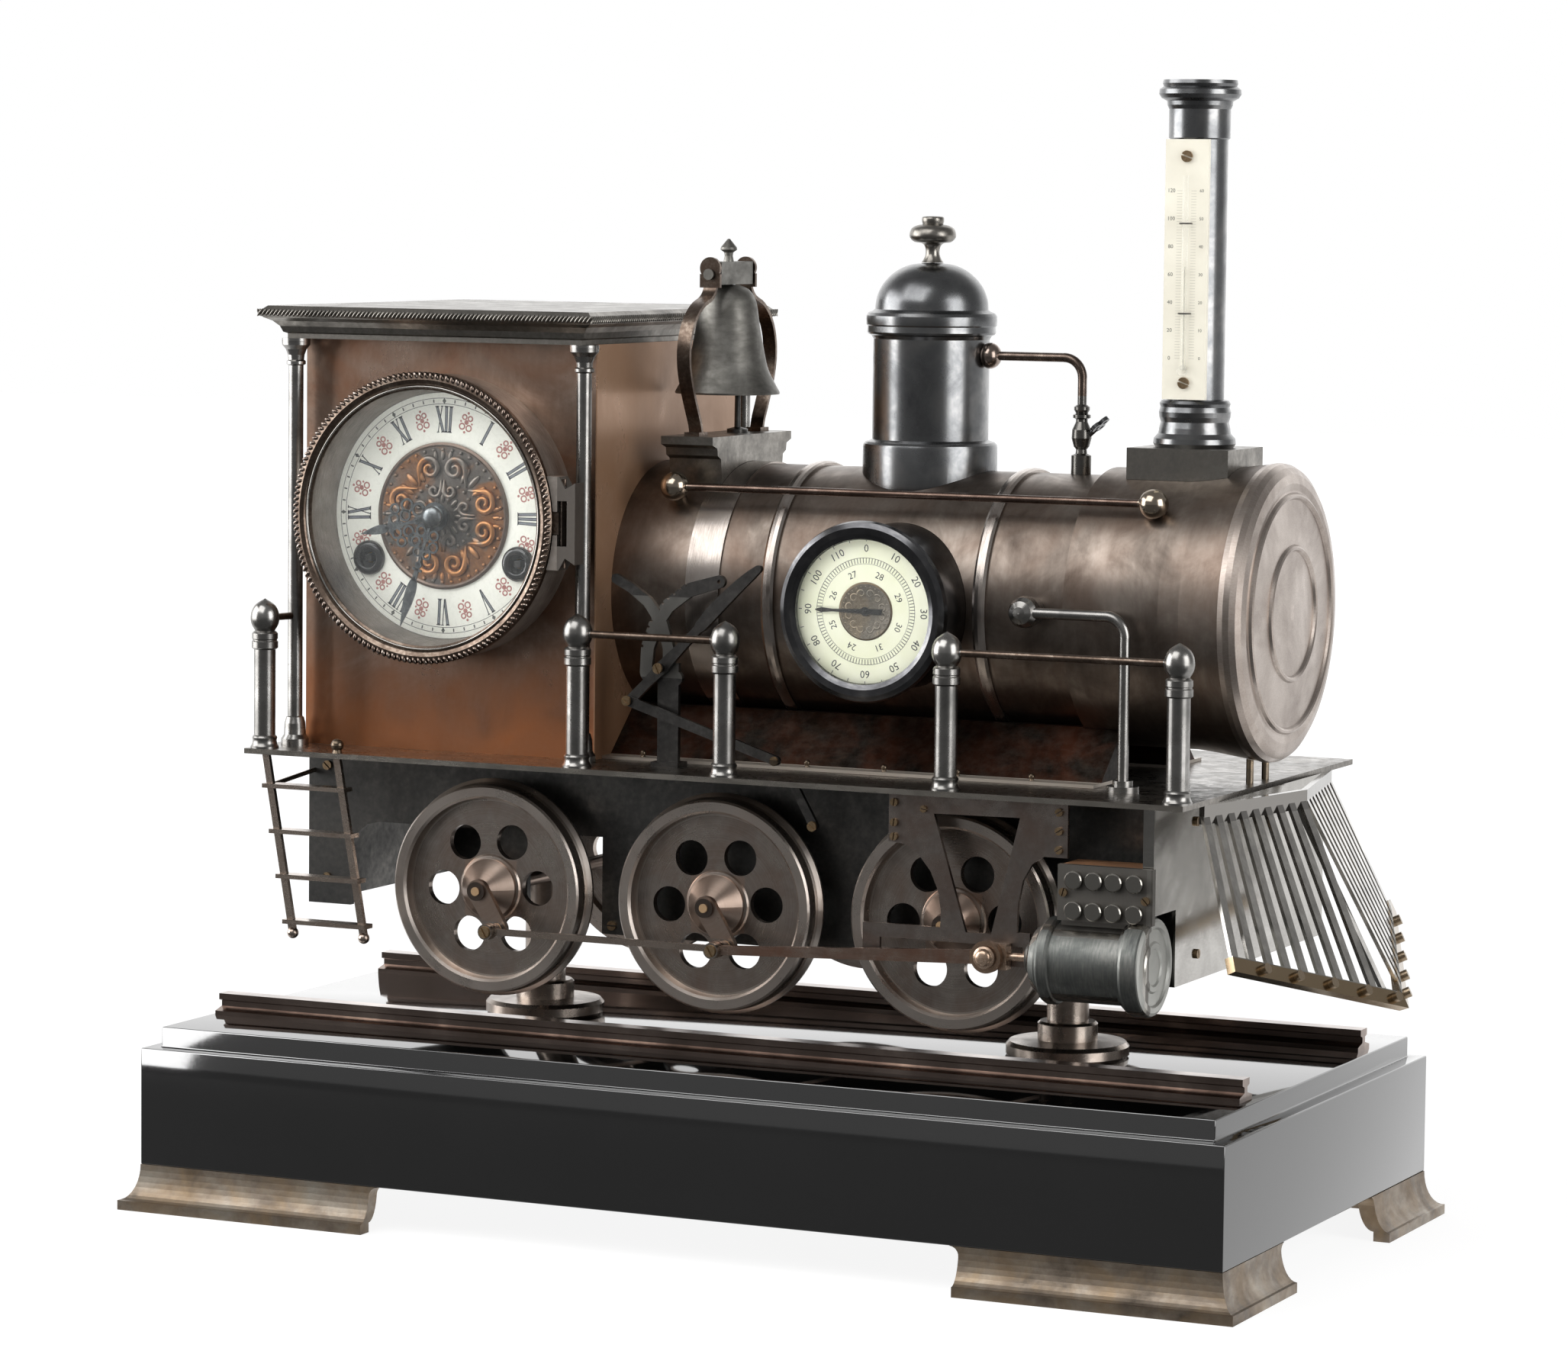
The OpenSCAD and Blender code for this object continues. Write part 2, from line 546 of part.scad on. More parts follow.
// The corner of the hinge lug is cut off at a slant
module lug_corner() translate([-60, -95, clock_z + 14]) rotate([0, -30, 0]) cube([14, 20, 14]);

hinge_x = -61.4;
hinge_y = -86.5;

module clock_bezel() color([0.38, 0.28, 0.23]) {
    turned_y(clock_x, clock_z, [[52.6, 87.3], [55.6, 87.3], [55.6, 85.3], [59, 85.3], [59.8, 86.4],
        [59.8, 88.6], [58.6, 90], [56.8, 90.4], [55.2, 89.6], [54.4, 88.6], [53.4, 88.6], [52.6, 88]]);
    round_z(hinge_x, hinge_y, clock_z - 9, clock_z + 9, 1.7);
    round_z(hinge_x, hinge_y, clock_z - 18, clock_z + 18, 0.9);
    difference() {
        translate([-70, hinge_y - 1, clock_z - 4.5]) cube([8.4, 2, 9]);
        round_y(clock_x, clock_z, -95, -75, 59.2);
    }
}

module bezel_glass() color([0.85, 0.9, 0.92, 0.3]) round_y(clock_x, clock_z, -87.25, -86, 55.5);

module dial() color([0.92, 0.9, 0.84]) difference() {
    union() {
        round_y(clock_x, clock_z, -70, -68.85, dial_r + 0.8);
        for (s = [-1, 1]) round_y(clock_x + s * wind_dx, clock_z + wind_dz, -70.8, -69, 7.2);
    }
    round_y(clock_x, clock_z, -75, -60, 3.2);
    for (s = [-1, 1]) round_y(clock_x + s * wind_dx, clock_z + wind_dz, -75, -60, 6);
}

module dial_centre() color([0.6, 0.38, 0.2]) difference() {
    turned_y(clock_x, clock_z, [[3.2, 70], [30.4, 70], [30.4, 70.9], [29.4, 71.3], [28.6, 70.8], [3.2, 70.8]]);
    round_y(clock_x, clock_z, -75, -60, 3.2);
}

// A pointed hand drawn upwards, then turned clockwise
module hand_2d(reach, waist, tail) polygon([[0, reach], [-0.9, reach - 4], [-0.8, reach * 0.72],
    [-waist, reach * 0.56], [-waist * 0.8, reach * 0.36], [-1.6, reach * 0.22], [-2.4, 0], [-1.6, -tail],
    [1.6, -tail], [2.4, 0], [1.6, reach * 0.22], [waist * 0.8, reach * 0.36], [waist, reach * 0.56],
    [0.8, reach * 0.72], [0.9, reach - 4]]);

module hour_hand() color([0.34, 0.38, 0.42]) {
    slab_y(-78, -77.2) translate([clock_x, clock_z]) rotate(-hour_deg) difference() {
        union() {
            hand_2d(34, 6.4, 5);
            circle(4.6);
        }
        circle(1.75);
    }
    turned_y(clock_x, clock_z, [[1.75, 66], [2.6, 66], [2.6, 77.3], [1.75, 77.3]]);
}

module minute_hand() color([0.34, 0.38, 0.42]) {
    slab_y(-80, -79.2) translate([clock_x, clock_z]) rotate(-minute_deg) {
        hand_2d(48, 4.2, 6);
        circle(3.8);
    }
    round_y(clock_x, clock_z, -79.4, -58.2, 1.7);
    turned_y(clock_x, clock_z, [[0, 79.9], [3.2, 79.9], [3.2, 81], [2.2, 82], [0, 82.3]]);
}

plate_size = 94;

module movement_frame() color([0.66, 0.54, 0.3]) {
    for (y = [-60, -30]) difference() {
        translate([clock_x - plate_size / 2, y, clock_z - plate_size / 2]) cube([plate_size, 2, plate_size]);
        round_y(clock_x, clock_z, y - 1, y + 3, 1.75);
        for (s = [-1, 1]) round_y(clock_x + s * wind_dx, clock_z + wind_dz, y - 1, y + 3, 2.05);
    }
    for (sx = [-1, 1]) for (sz = [-1, 1]) {
        round_y(clock_x + sx * 42, clock_z + sz * 42, -58, -30, 3);
        round_y(clock_x + sx * 42, clock_z + sz * 42, -cab_y + 1.6, -60, 3);
    }
}

module spring_barrels() color([0.66, 0.54, 0.3]) for (s = [-1, 1]) difference() {
    round_y(clock_x + s * wind_dx, clock_z + wind_dz, -56, -34, 18);
    round_y(clock_x + s * wind_dx, clock_z + wind_dz, -54.5, -35.5, 16.5);
    round_y(clock_x + s * wind_dx, clock_z + wind_dz, -57, -33, 2.1);
}

module winding_arbor(s) color([0.55, 0.55, 0.55]) {
    round_y(clock_x + s * wind_dx, clock_z + wind_dz, -66, -28, 2);
    translate([clock_x + s * wind_dx - 1.4, -71.2, clock_z + wind_dz - 1.4]) cube([2.8, 5.3, 2.8]);
}

module winding_arbor_left() winding_arbor(-1);
module winding_arbor_right() winding_arbor(1);

// Rails, posts, ladder and pipes

hand_y = -42;
hand_z = 305;
knob_x = [-33.5, 176.4];
pipe_x = 173.4;
pipe_y = -63;
pipe_top = 261.6;

module handrail() color([0.3, 0.24, 0.22]) difference() {
    union() {
        round_x(hand_y, hand_z, knob_x[0], knob_x[1], 1.6);
        for (x = knob_x) {
            translate([x, hand_y, hand_z]) sphere(6);
            rod_between([x, hand_y * 0.8, boiler_z + (hand_z - boiler_z) * 0.8], [x, hand_y, hand_z], 3);
        }
    }
    boiler_body(0.03);
}

module side_pipe() color([0.26, 0.23, 0.22]) difference() {
    union() {
        turned_y(130, pipe_top, [[0, 50], [5, 50], [6, 57], [6.4, 60.2], [6, 63.2], [4.6, 65.8],
            [2.4, 67.2], [0, 67.6]]);
        round_x(pipe_y, pipe_top, 130, pipe_x - 7.6, 2.15);
        elbow_down(pipe_x, pipe_y, pipe_top, 2.2);
        round_z(pipe_x, pipe_y, deck_z + 1, pipe_top - 7.6, 2.15);
        round_z(pipe_x, pipe_y, deck_z, deck_z + 2.2, 6.4);
        round_z(pipe_x, pipe_y, deck_z + 2.1, deck_z + 4.4, 4);
    }
    boiler_body(0.05);
}

// A quarter bend that comes in along +X and turns down
module elbow_down(x, y, z, r) translate([x - 8, y, z - 8]) rotate([90, 0, 0]) rotate_extrude(angle = 90)
    translate([8, 0]) circle(r);

module posts() color([0.28, 0.28, 0.29]) for (x = post_x) translate([x, post_y, 0]) rotate_extrude()
    polygon(concat([[0, deck_z], [6, deck_z], [6, deck_z + 2.4], [5.2, deck_z + 4], [5.6, deck_z + 5.4],
        [5.2, deck_z + 6.8], [4.7, deck_z + 7.4], [4.7, 233], [5.6, 234], [5.6, 236.2], [4.9, 237.2],
        [5.8, 238.4], [5.8, 240.4], [4.2, 241.6]],
        [for (t = [-40:12:68]) [ball_r * cos(t), ball_z + ball_r * sin(t)]],
        [[1.2, ball_z + 6.6], [0.6, ball_z + 8], [0, ball_z + 8.2]]));

module post_rails() color([0.28, 0.26, 0.26]) {
    for (i = [1, 3]) difference() {
        round_x(post_y, ball_z, post_x[i], post_x[i + 1], 1.5);
        for (k = [i, i + 1]) translate([post_x[k], post_y, ball_z]) sphere(ball_r + 0.02);
    }
    difference() {
        rod_between([post_x[0], post_y, ball_z], [column_x[0], -column_y, ball_z], 1.5);
        translate([post_x[0], post_y, ball_z]) sphere(ball_r + 0.02);
        round_z(column_x[0], -column_y, ball_z - 20, ball_z + 20, 3.12);
    }
}

ladder_y = -96;
ladder_top = [-194.6, -160.9];
ladder_lean = 12.9;
ladder_low = 117.6;

module ladder() color([0.33, 0.31, 0.28]) {
    for (x = ladder_top) difference() {
        union() {
            bar_between([x, ladder_y, deck_under], [x + ladder_lean, ladder_y, ladder_low], 3, 2, [0, 1, 0]);
            translate([x + ladder_lean, ladder_y, ladder_low - 0.6]) sphere(2.4);
        }
        translate([x - 5, ladder_y - 5, deck_under]) cube(10);
    }
    for (z = [178, 159.2, 140.6, 121.8]) {
        x = ladder_top[0] + ladder_lean * (deck_under - z) / (deck_under - ladder_low);
        translate([x - 2.6, ladder_y - 3.2, z - 0.9]) cube([39, 7, 1.8]);
    }
    rod_between([-192.6, ladder_y + 1, 178], [-192.4, -60.1, 181], 1);
}

// Reversing gear

lever_pivot = [-23.2, 233.2];
lever_low = [-37.2, 219.4];
lever_tip = [19.4, 275.1];
tooth_count = 12;
rod_end = [29.3, 198.4];
link_top = [35.6, 192.3];
link_end = [46.4, 173.2];
stand_back = [[-21.3, 226], [-21.4, 241], [-24.4, 251], [-31, 259.6], [-38.4, 264.8], [-45.4, 268.4]];
quadrant = [[-31.5, 231], [-30.8, 241], [-27.6, 250], [-21.6, 258.4], [-12.6, 265], [1.1, 269]];

// A point on the outer edge of the quadrant, t from 0 at its foot to 1 at its tip
quadrant_edge = side_of(quadrant, [for (q = quadrant) 2.9], 1);
function on_quadrant(t) = let (k = 1 + 3 * t, i = min(floor(k), 3))
    quadrant_edge[i] * (i + 1 - k) + quadrant_edge[i + 1] * (k - i);

module lever_stand() color([0.17, 0.17, 0.18]) {
    slab_y(-71.4, -69.2) {
        translate([-26, deck_z]) square([9.4, 42]);
        strip_2d(stand_back, [2.4, 2.4, 2.4, 2.2, 2, 2]);
        difference() {
            strip_2d(quadrant, [2.6, 2.9, 2.9, 2.9, 2.9, 2.6]);
            for (i = [0:tooth_count - 1]) translate(on_quadrant(i / (tooth_count - 1)))
                rotate(75 - 50 * i / (tooth_count - 1)) square([1.1, 2], center = true);
            translate(quadrant[5]) circle(0.8);
        }
        strip_2d([[-31, 230.5], [-18, 229]], [3, 3]);
    }
    translate([-27.4, -74.5, deck_z]) cube([12.2, 9, 1.8]);
    round_y(lever_pivot[0], lever_pivot[1], -77, -71.3, 1.4);
    slab_y(-76.4, -74.6) difference() {
        strip_2d([link_top, link_end], [1.7, 1.9]);
        translate([link_top[0] - 5, deck_under]) square([10, 5]);
    }
    round_y(link_end[0], link_end[1], -77.4, -76.3, 1.7);
}

module reversing_lever() color([0.2, 0.2, 0.2]) slab_y(-74.2, -71.9) difference() {
    strip_2d([lever_low, lever_pivot, [-6, 250], lever_tip], [2.4, 3.6, 2.9, 3.4]);
    translate(lever_pivot) circle(1.45);
    translate(lever_low) circle(0.95);
}

module reach_rod() color([0.2, 0.2, 0.2]) {
    slab_y(-76.4, -74.6) {
        strip_2d([lever_low, rod_end], [2.1, 1.9]);
    }
    round_y(lever_low[0], lever_low[1], -74.7, -71.6, 0.9);
    round_y(lever_low[0], lever_low[1], -77.2, -76.3, 1.9);
    round_y(rod_end[0], rod_end[1], -77.4, -76.3, 1.7);
}

// Wheels and rods

wheel_points = [[axle_r, 70.5], [9, 70.5], [9, 73], [36, 73], [37.2, 70.5], [flange_r - 0.5, 70.5],
    [flange_r, 71], [flange_r, 72.2], [wheel_r + 0.7, 73.6], [wheel_r, 74.6], [wheel_r, 80.2],
    [wheel_r - 0.8, 81],
    [38.4, 81], [37.4, 80], [36.8, 76.2], [14, 76.2], [13.4, 77], [12.2, 77.2], [12.2, 78.2], [4.6, 85.4],
    [axle_r, 85.4]];

module wheel() difference() {
    turned_y(0, 0, wheel_points);
    for (i = [0:5]) rotate([0, -3 - 60 * i, 0]) round_y(21.8, 0, -80, -70, 7.2);
}

module wheelset(x) translate([x, 0, axle_z]) {
    color([0.36, 0.3, 0.27]) wheel();
    color([0.36, 0.3, 0.27]) mirror([0, 1, 0]) wheel();
    color([0.4, 0.38, 0.36]) {
        round_y(0, 0, -85.5, 85.4, axle_r);
        round_y(0, 0, 85.4, 87, 3.9);
        round_y(0, 0, -89.4, -85.4, 3.9);
        round_y(0, 0, -90, -89.3, 1.8);
    }
}

// A crank on the near end of an axle, with its pin and nut
module crank(x, pin_end) color([0.4, 0.32, 0.28]) translate([x, 0, axle_z]) {
    slab_y(-88.2, -85.8) strip_2d([[0, 0], [pin_dx, pin_dz]], [4.7, 4]);
    round_y(pin_dx, pin_dz, -95.1, -88.1, 2.6);
    round_y(pin_dx, pin_dz, pin_end + 0.3, -95, 1.6);
    round_y(pin_dx, pin_dz, pin_end - 1.8, pin_end + 0.4, 3.2);
}

module wheelset_rear() {
    wheelset(rear_x);
    crank(rear_x, -97.6);
}

module wheelset_middle() {
    wheelset(middle_x);
    crank(middle_x, -101);
}

module wheelset_front() wheelset(front_x);

module coupling_rod() color([0.2, 0.18, 0.17]) difference() {
    union() {
        slab_y(-97, -95.4) polygon([[rear_x + pin_dx, axle_z + pin_dz - 1.3], [middle_x + pin_dx, axle_z + pin_dz - 1.3],
            [middle_x + pin_dx, axle_z + pin_dz + 1.3], [rear_x + pin_dx, axle_z + pin_dz + 1.3]]);
        for (x = [rear_x, middle_x]) round_y(x + pin_dx, axle_z + pin_dz, -97, -95.4, 3.4);
    }
    for (x = [rear_x, middle_x]) round_y(x + pin_dx, axle_z + pin_dz, -98, -94.4, 1.6 + run_gap);
}

// A flat rod in 2D between p and q with round eyes
module rod_2d(p, q, r1, r2, e1, e2) {
    side = [-(q - p)[1], (q - p)[0]] / norm(q - p);
    polygon([p + side * r1, q + side * r2, q - side * r2, p - side * r1]);
    translate(p) circle(e1);
    translate(q) circle(e2);
}

module connecting_rod() color([0.36, 0.28, 0.24]) {
    slab_y(-100.4, -97.6) difference() {
        rod_2d([middle_x + pin_dx, axle_z + pin_dz], [cross_x, cyl_z], 1.7, 2.8, 3.4, 6.4);
        translate([middle_x + pin_dx, axle_z + pin_dz]) circle(1.6 + run_gap);
    }
    round_y(cross_x, cyl_z, -101.6, -100.3, 3);
}

module crosshead() color([0.42, 0.33, 0.25]) {
    translate([cross_x - 4.8, -97.3, cyl_z - 5]) cube([12.4, 5, 10]);
    translate([cross_x - 4, -92.4, 129.1]) cube([8, 2.1, 3.9]);
    round_x(cyl_y, cyl_z, cross_x + 7.5, 187, 1.6);
    round_x(cyl_y, cyl_z, 185.4, 189, 12.9);
}

module cylinder_block() {
    color([0.45, 0.47, 0.47]) difference() {
        union() {
            turned_x(cyl_y, cyl_z, [[0, 147.6], [5.4, 147.6], [6.2, 148.4], [6.2, 149.8], [9.4, 150.4],
                [12.6, 152.2], [14.2, 154.8], [14.4, 156], [16.6, 156.4], [17.2, 157.4], [17.2, 160.2],
                [16.6, 161.2], [15.7, 161.6], [15.7, 189.6], [17.2, 190], [17.2, 191.4], [18.8, 191.8],
                [19.4, 193], [19.4, 198.6], [18.8, 199.8], [17.6, 200.4], [15.6, 200.4], [14.8, 199.5],
                [10.2, 199.5], [9.4, 200.1], [7.6, 200.1], [6.8, 199.5], [0, 199.5]]);
            translate([163, -99.1, 142]) cube([32.8, 17, 26]);
            translate([165, -83, 147]) cube([26, 22.95, 18]);
        }
        round_x(cyl_y, cyl_z, 157.2, 198.2, 12.96);
        round_x(cyl_y, cyl_z, 140, 160, 1.65);
    }
    color([0.45, 0.47, 0.47]) translate([162.4, -102, 146.4]) cube([39.4, 2.9, 21.8]);
    color([0.2, 0.2, 0.2]) for (x = [169.5, 177.8, 186, 194.6]) for (z = [150.6, 162.4])
        turned_y(x, z, [[0, 102], [3.6, 102], [3.6, 104], [3.2, 104.4], [0, 104.4]]);
}

module slide_bracket() color([0.3, 0.27, 0.25]) slab_y(bracket_y0, bracket_y1) difference() {
    polygon([[86.3, deck_under], [162.3, deck_under], [162.3, 169.2], [152.5, 169.2], [147.6, 166],
        [143.8, 159.4],
        [141.8, 150], [141.4, 138.6], [147, 138.6], [147, 125.2], [75.6, 125.2], [75.6, 138.6], [108.9, 138.6],
        [109.2, 145], [107.8, 153], [104.5, 160.5], [99, 167.2], [93.5, 170.6], [86.3, 171.4]]);
    polygon([[105.6, 183.4], [142.2, 183.8], [130.6, 137.4], [119.8, 137.4]]);
    translate([83, 129]) square([61.2, 4.1]);
}

// Screws with a slotted round head: on faces towards -Y, towards +X, and upright
module head_2d(r) difference() {
    circle(r);
    square([3 * r, r * 0.28], center = true);
}

module screw_y(x, z, y, r) slab_y(y - 1.1, y) translate([x, z]) rotate(x * 7) head_2d(r);

module screw_x(x, y, z, r) slab_x(x, x + 1.1) translate([y, z]) rotate(y * 5) head_2d(r);

module ball_screw(x, y, z, r) translate([x, y, z]) rotate_extrude() polygon(concat(
    [[0, 0], [0.8 * r, 0], [0.6 * r, 0.5 * r]],
    [for (t = [-40:20:80]) [r * cos(t), r * (1.2 + sin(t))]], [[0, 2.2 * r]]));

module screws() color([0.62, 0.5, 0.3]) {
    for (p = [[-186, 183.4], [-186, 136], [-51.4, 124.5], [20.9, 123.6]]) screw_y(p[0], p[1], -60, 2);
    for (z = [187, 179, 173.4]) screw_y(88.8, z, bracket_y0, 1.6);
    for (z = [187, 179.6, 172.2]) screw_y(158.8, z, bracket_y0, 1.6);
    screw_y(101.4, 185, bracket_y0 , 1.4);
    screw_y(165, 157.4, -102, 1.7);
    screw_y(199, 156, -102, 1.7);
    screw_y(chimney_x, 441.6, therm_y0, 2.3);
    screw_y(chimney_x, 351.8, therm_y0, 2.3);
    screw_x(plate_x1, -52.8, 182, 1.9);
    screw_x(plate_x1, -50.4, 129.4, 1.9);
    ball_screw(-160.9, -96, deck_z, 2.7);
    for (x = [-40, 0, 34, 68, 100, 132]) for (s = [-1, 1]) ball_screw(x, s * 56, deck_z + flange_t, 1.3);
    difference() {
        for (y = [-9, 9]) round_z(206.5, y, deck_z, 206, 1.5);
        boiler_body(0.05);
    }
    for (s = [-1, 1]) for (f = [0.17, 0.36, 0.56, 0.76, 0.94]) {
        le = [cow_low_end[0], s * cow_low_end[1], cow_low_end[2]];
        te = [cow_top_end[0], s * cow_top_end[1], cow_top_end[2]];
        u = (cow_low_mid - le) / norm(cow_low_mid - le);
        out = cross(cow_top_mid - te, le - te);
        square_out = out - (out * u) * u;
        n = square_out / norm(square_out) * (square_out[0] > 0 ? 1 : -1);
        p = le + (cow_low_mid - le) * f;
        rod_between(p + n * 2.01, p + n * 4.4, 2.1);
    }
}

placed() plinth();
placed() feet();
placed() rails();
placed() pedestals();
placed() chassis();
placed() front_plate();
placed() cowcatcher();
placed() footplate();
placed() boiler_skirt();
placed() cab();
placed() cab_roof();
placed() cab_columns();
placed() boiler();
placed() boiler_bands();
placed() smokebox_front();
placed() bell_saddle();
placed() bell_arms();
placed() bell();
placed() bell_yoke();
placed() bell_striker();
placed() dome();
placed() dome_finial();
placed() steam_pipe();
placed() tap_key();
placed() chimney_block();
placed() chimney();
placed() thermometer_plate();
placed() thermometer_tube();
placed() barometer_case();
placed() barometer_dial();
placed() barometer_glass();
placed() barometer_needle();
placed() clock_drum();
placed() clock_bezel();
placed() bezel_glass();
placed() dial();
placed() dial_centre();
placed() hour_hand();
placed() minute_hand();
placed() movement_frame();
placed() spring_barrels();
placed() winding_arbor_left();
placed() winding_arbor_right();
placed() handrail();
placed() side_pipe();
placed() posts();
placed() post_rails();
placed() ladder();
placed() lever_stand();
placed() reversing_lever();
placed() reach_rod();
placed() wheelset_rear();
placed() wheelset_middle();
placed() wheelset_front();
placed() coupling_rod();
placed() connecting_rod();
placed() crosshead();
placed() cylinder_block();
placed() slide_bracket();
placed() screws();
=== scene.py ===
"""Looks of the locomotive clock: finishes for the CAD nodes, and pieces that ride with them."""
import math
import bpy
from mathutils import Matrix, Vector


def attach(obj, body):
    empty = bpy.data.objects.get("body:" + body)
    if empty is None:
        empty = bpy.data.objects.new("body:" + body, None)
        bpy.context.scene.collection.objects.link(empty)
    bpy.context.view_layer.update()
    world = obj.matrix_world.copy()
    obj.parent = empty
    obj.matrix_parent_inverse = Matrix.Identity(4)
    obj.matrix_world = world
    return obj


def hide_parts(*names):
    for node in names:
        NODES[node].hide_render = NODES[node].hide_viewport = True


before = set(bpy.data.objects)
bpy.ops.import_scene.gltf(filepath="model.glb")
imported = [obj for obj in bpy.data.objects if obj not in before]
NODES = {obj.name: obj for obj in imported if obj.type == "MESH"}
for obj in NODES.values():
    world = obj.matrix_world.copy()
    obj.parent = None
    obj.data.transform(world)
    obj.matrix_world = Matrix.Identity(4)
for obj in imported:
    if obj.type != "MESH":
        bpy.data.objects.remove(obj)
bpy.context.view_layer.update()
MM = 0.001

# The frame's origin lies this far ahead of the plinth's middle, which places are measured from
AHEAD = 12.405

# Places and sizes that several pieces share, in millimetres: a pair is (x, z) on the dial side,
# unless its name says more
CLOCK = (-125.8, 291.0)
DIAL_Y = -70.0
RELIEF_Y = -70.8
WINDING = ((-160.7, 272.4), (-90.9, 272.4))
HOUR_ANGLE, MINUTE_ANGLE = 256.5, 198.0
BAROMETER = (67.8, 260.2)
BAROMETER_Y = -75.4
THERMOMETER_XY = (177.2, -13.2)
AXLES = {"wheelset_rear": -99.5, "wheelset_middle": 4.3, "wheelset_front": 108.0}
AXLE_Z = 138.8
TYRE_R = 36.0
CRANK_PIN = (9.69, -14.93)
ROD_EYE = (131.8, 129.4)
DOME_X = 62.0
PIPE_Z = 360.3
LEVER_PIVOT = (-23.2, 233.2)
LEVER_LOW = (-37.2, 219.4)
ROD_END = (29.3, 198.4)
LINK_END = (46.4, 173.2)
POSTS = (-197.3, -51.5, 14.5, 110.7, 207.8)
POST_Y = -93.0
HANDRAIL_KNOBS = (-33.5, 176.4)
BELL = (-30.2, 391.5)

# Turns of a shape drawn in X and Y: to face the dial side, and to face ahead
TO_DIAL_SIDE = Matrix.Rotation(math.pi / 2, 4, "X")
TO_AHEAD = Matrix(((0, 0, 1, 0), (1, 0, 0, 0), (0, 1, 0, 0), (0, 0, 0, 1)))


def at(x, y, z):
    """A point given in millimetres from the plinth's middle, in the shared frame in metres."""
    return Vector(((x - AHEAD) * MM, y * MM, z * MM))


def moved(x, y, z):
    """The move that takes the origin to such a point."""
    return Matrix.Translation(at(x, y, z))


# Colour and node helpers

def linear(hex_colour):
    """An sRGB hex colour as linear red, green, blue and alpha."""
    parts = [int(hex_colour[i:i + 2], 16) / 255 for i in (1, 3, 5)]
    return tuple(c / 12.92 if c <= 0.04045 else ((c + 0.055) / 1.055) ** 2.4
                 for c in parts) + (1.0,)


def add(tree, kind, values=None, **settings):
    """Adds a shader node, sets its settings, and gives each input a value or a link."""
    node = tree.nodes.new("ShaderNode" + kind)
    for name, value in settings.items():
        setattr(node, name, value)
    for name, value in (values or {}).items():
        if isinstance(value, bpy.types.NodeSocket):
            tree.links.new(value, node.inputs[name])
        else:
            node.inputs[name].default_value = value
    return node


def set_ramp(node, stops):
    """Gives a colour ramp its stops: a list of (place, hex colour or grey)."""
    elements = node.color_ramp.elements
    while len(elements) > 1:
        elements.remove(elements[-1])
    for i, (place, colour) in enumerate(stops):
        element = elements[0] if i == 0 else elements.new(place)
        element.position = place
        element.color = linear(colour) if isinstance(colour, str) else (colour, colour, colour, 1.0)
    return node


def new_finish(name):
    """A new material: its tree, its shader, and the object coordinates."""
    material = bpy.data.materials.new(name)
    material.use_nodes = True
    tree = material.node_tree
    shader = tree.nodes["Principled BSDF"]
    place = add(tree, "TexCoord").outputs["Object"]
    return material, tree, shader, place


def lay_over(tree, share, tone):
    """Lays a tone over the colour that a finish has so far; share is a value or a socket."""
    colour = tree.nodes["Principled BSDF"].inputs["Base Color"]
    mixed = add(tree, "Mix", {0: share, 6: colour.links[0].from_socket, 7: linear(tone)},
                data_type="RGBA")
    tree.links.new(mixed.outputs[2], colour)


def radius_from(tree, place, centre):
    """How far each point lies from the line along Y through the centre (x, z)."""
    off = add(tree, "VectorMath", {0: place, 1: at(centre[0], 0, centre[1])}, operation="SUBTRACT")
    flat = add(tree, "VectorMath", {0: off.outputs[0], 1: (1.0, 0.0, 1.0)}, operation="MULTIPLY")
    return add(tree, "VectorMath", {0: flat.outputs[0]}, operation="LENGTH").outputs["Value"]


DUST = "#8a857c"


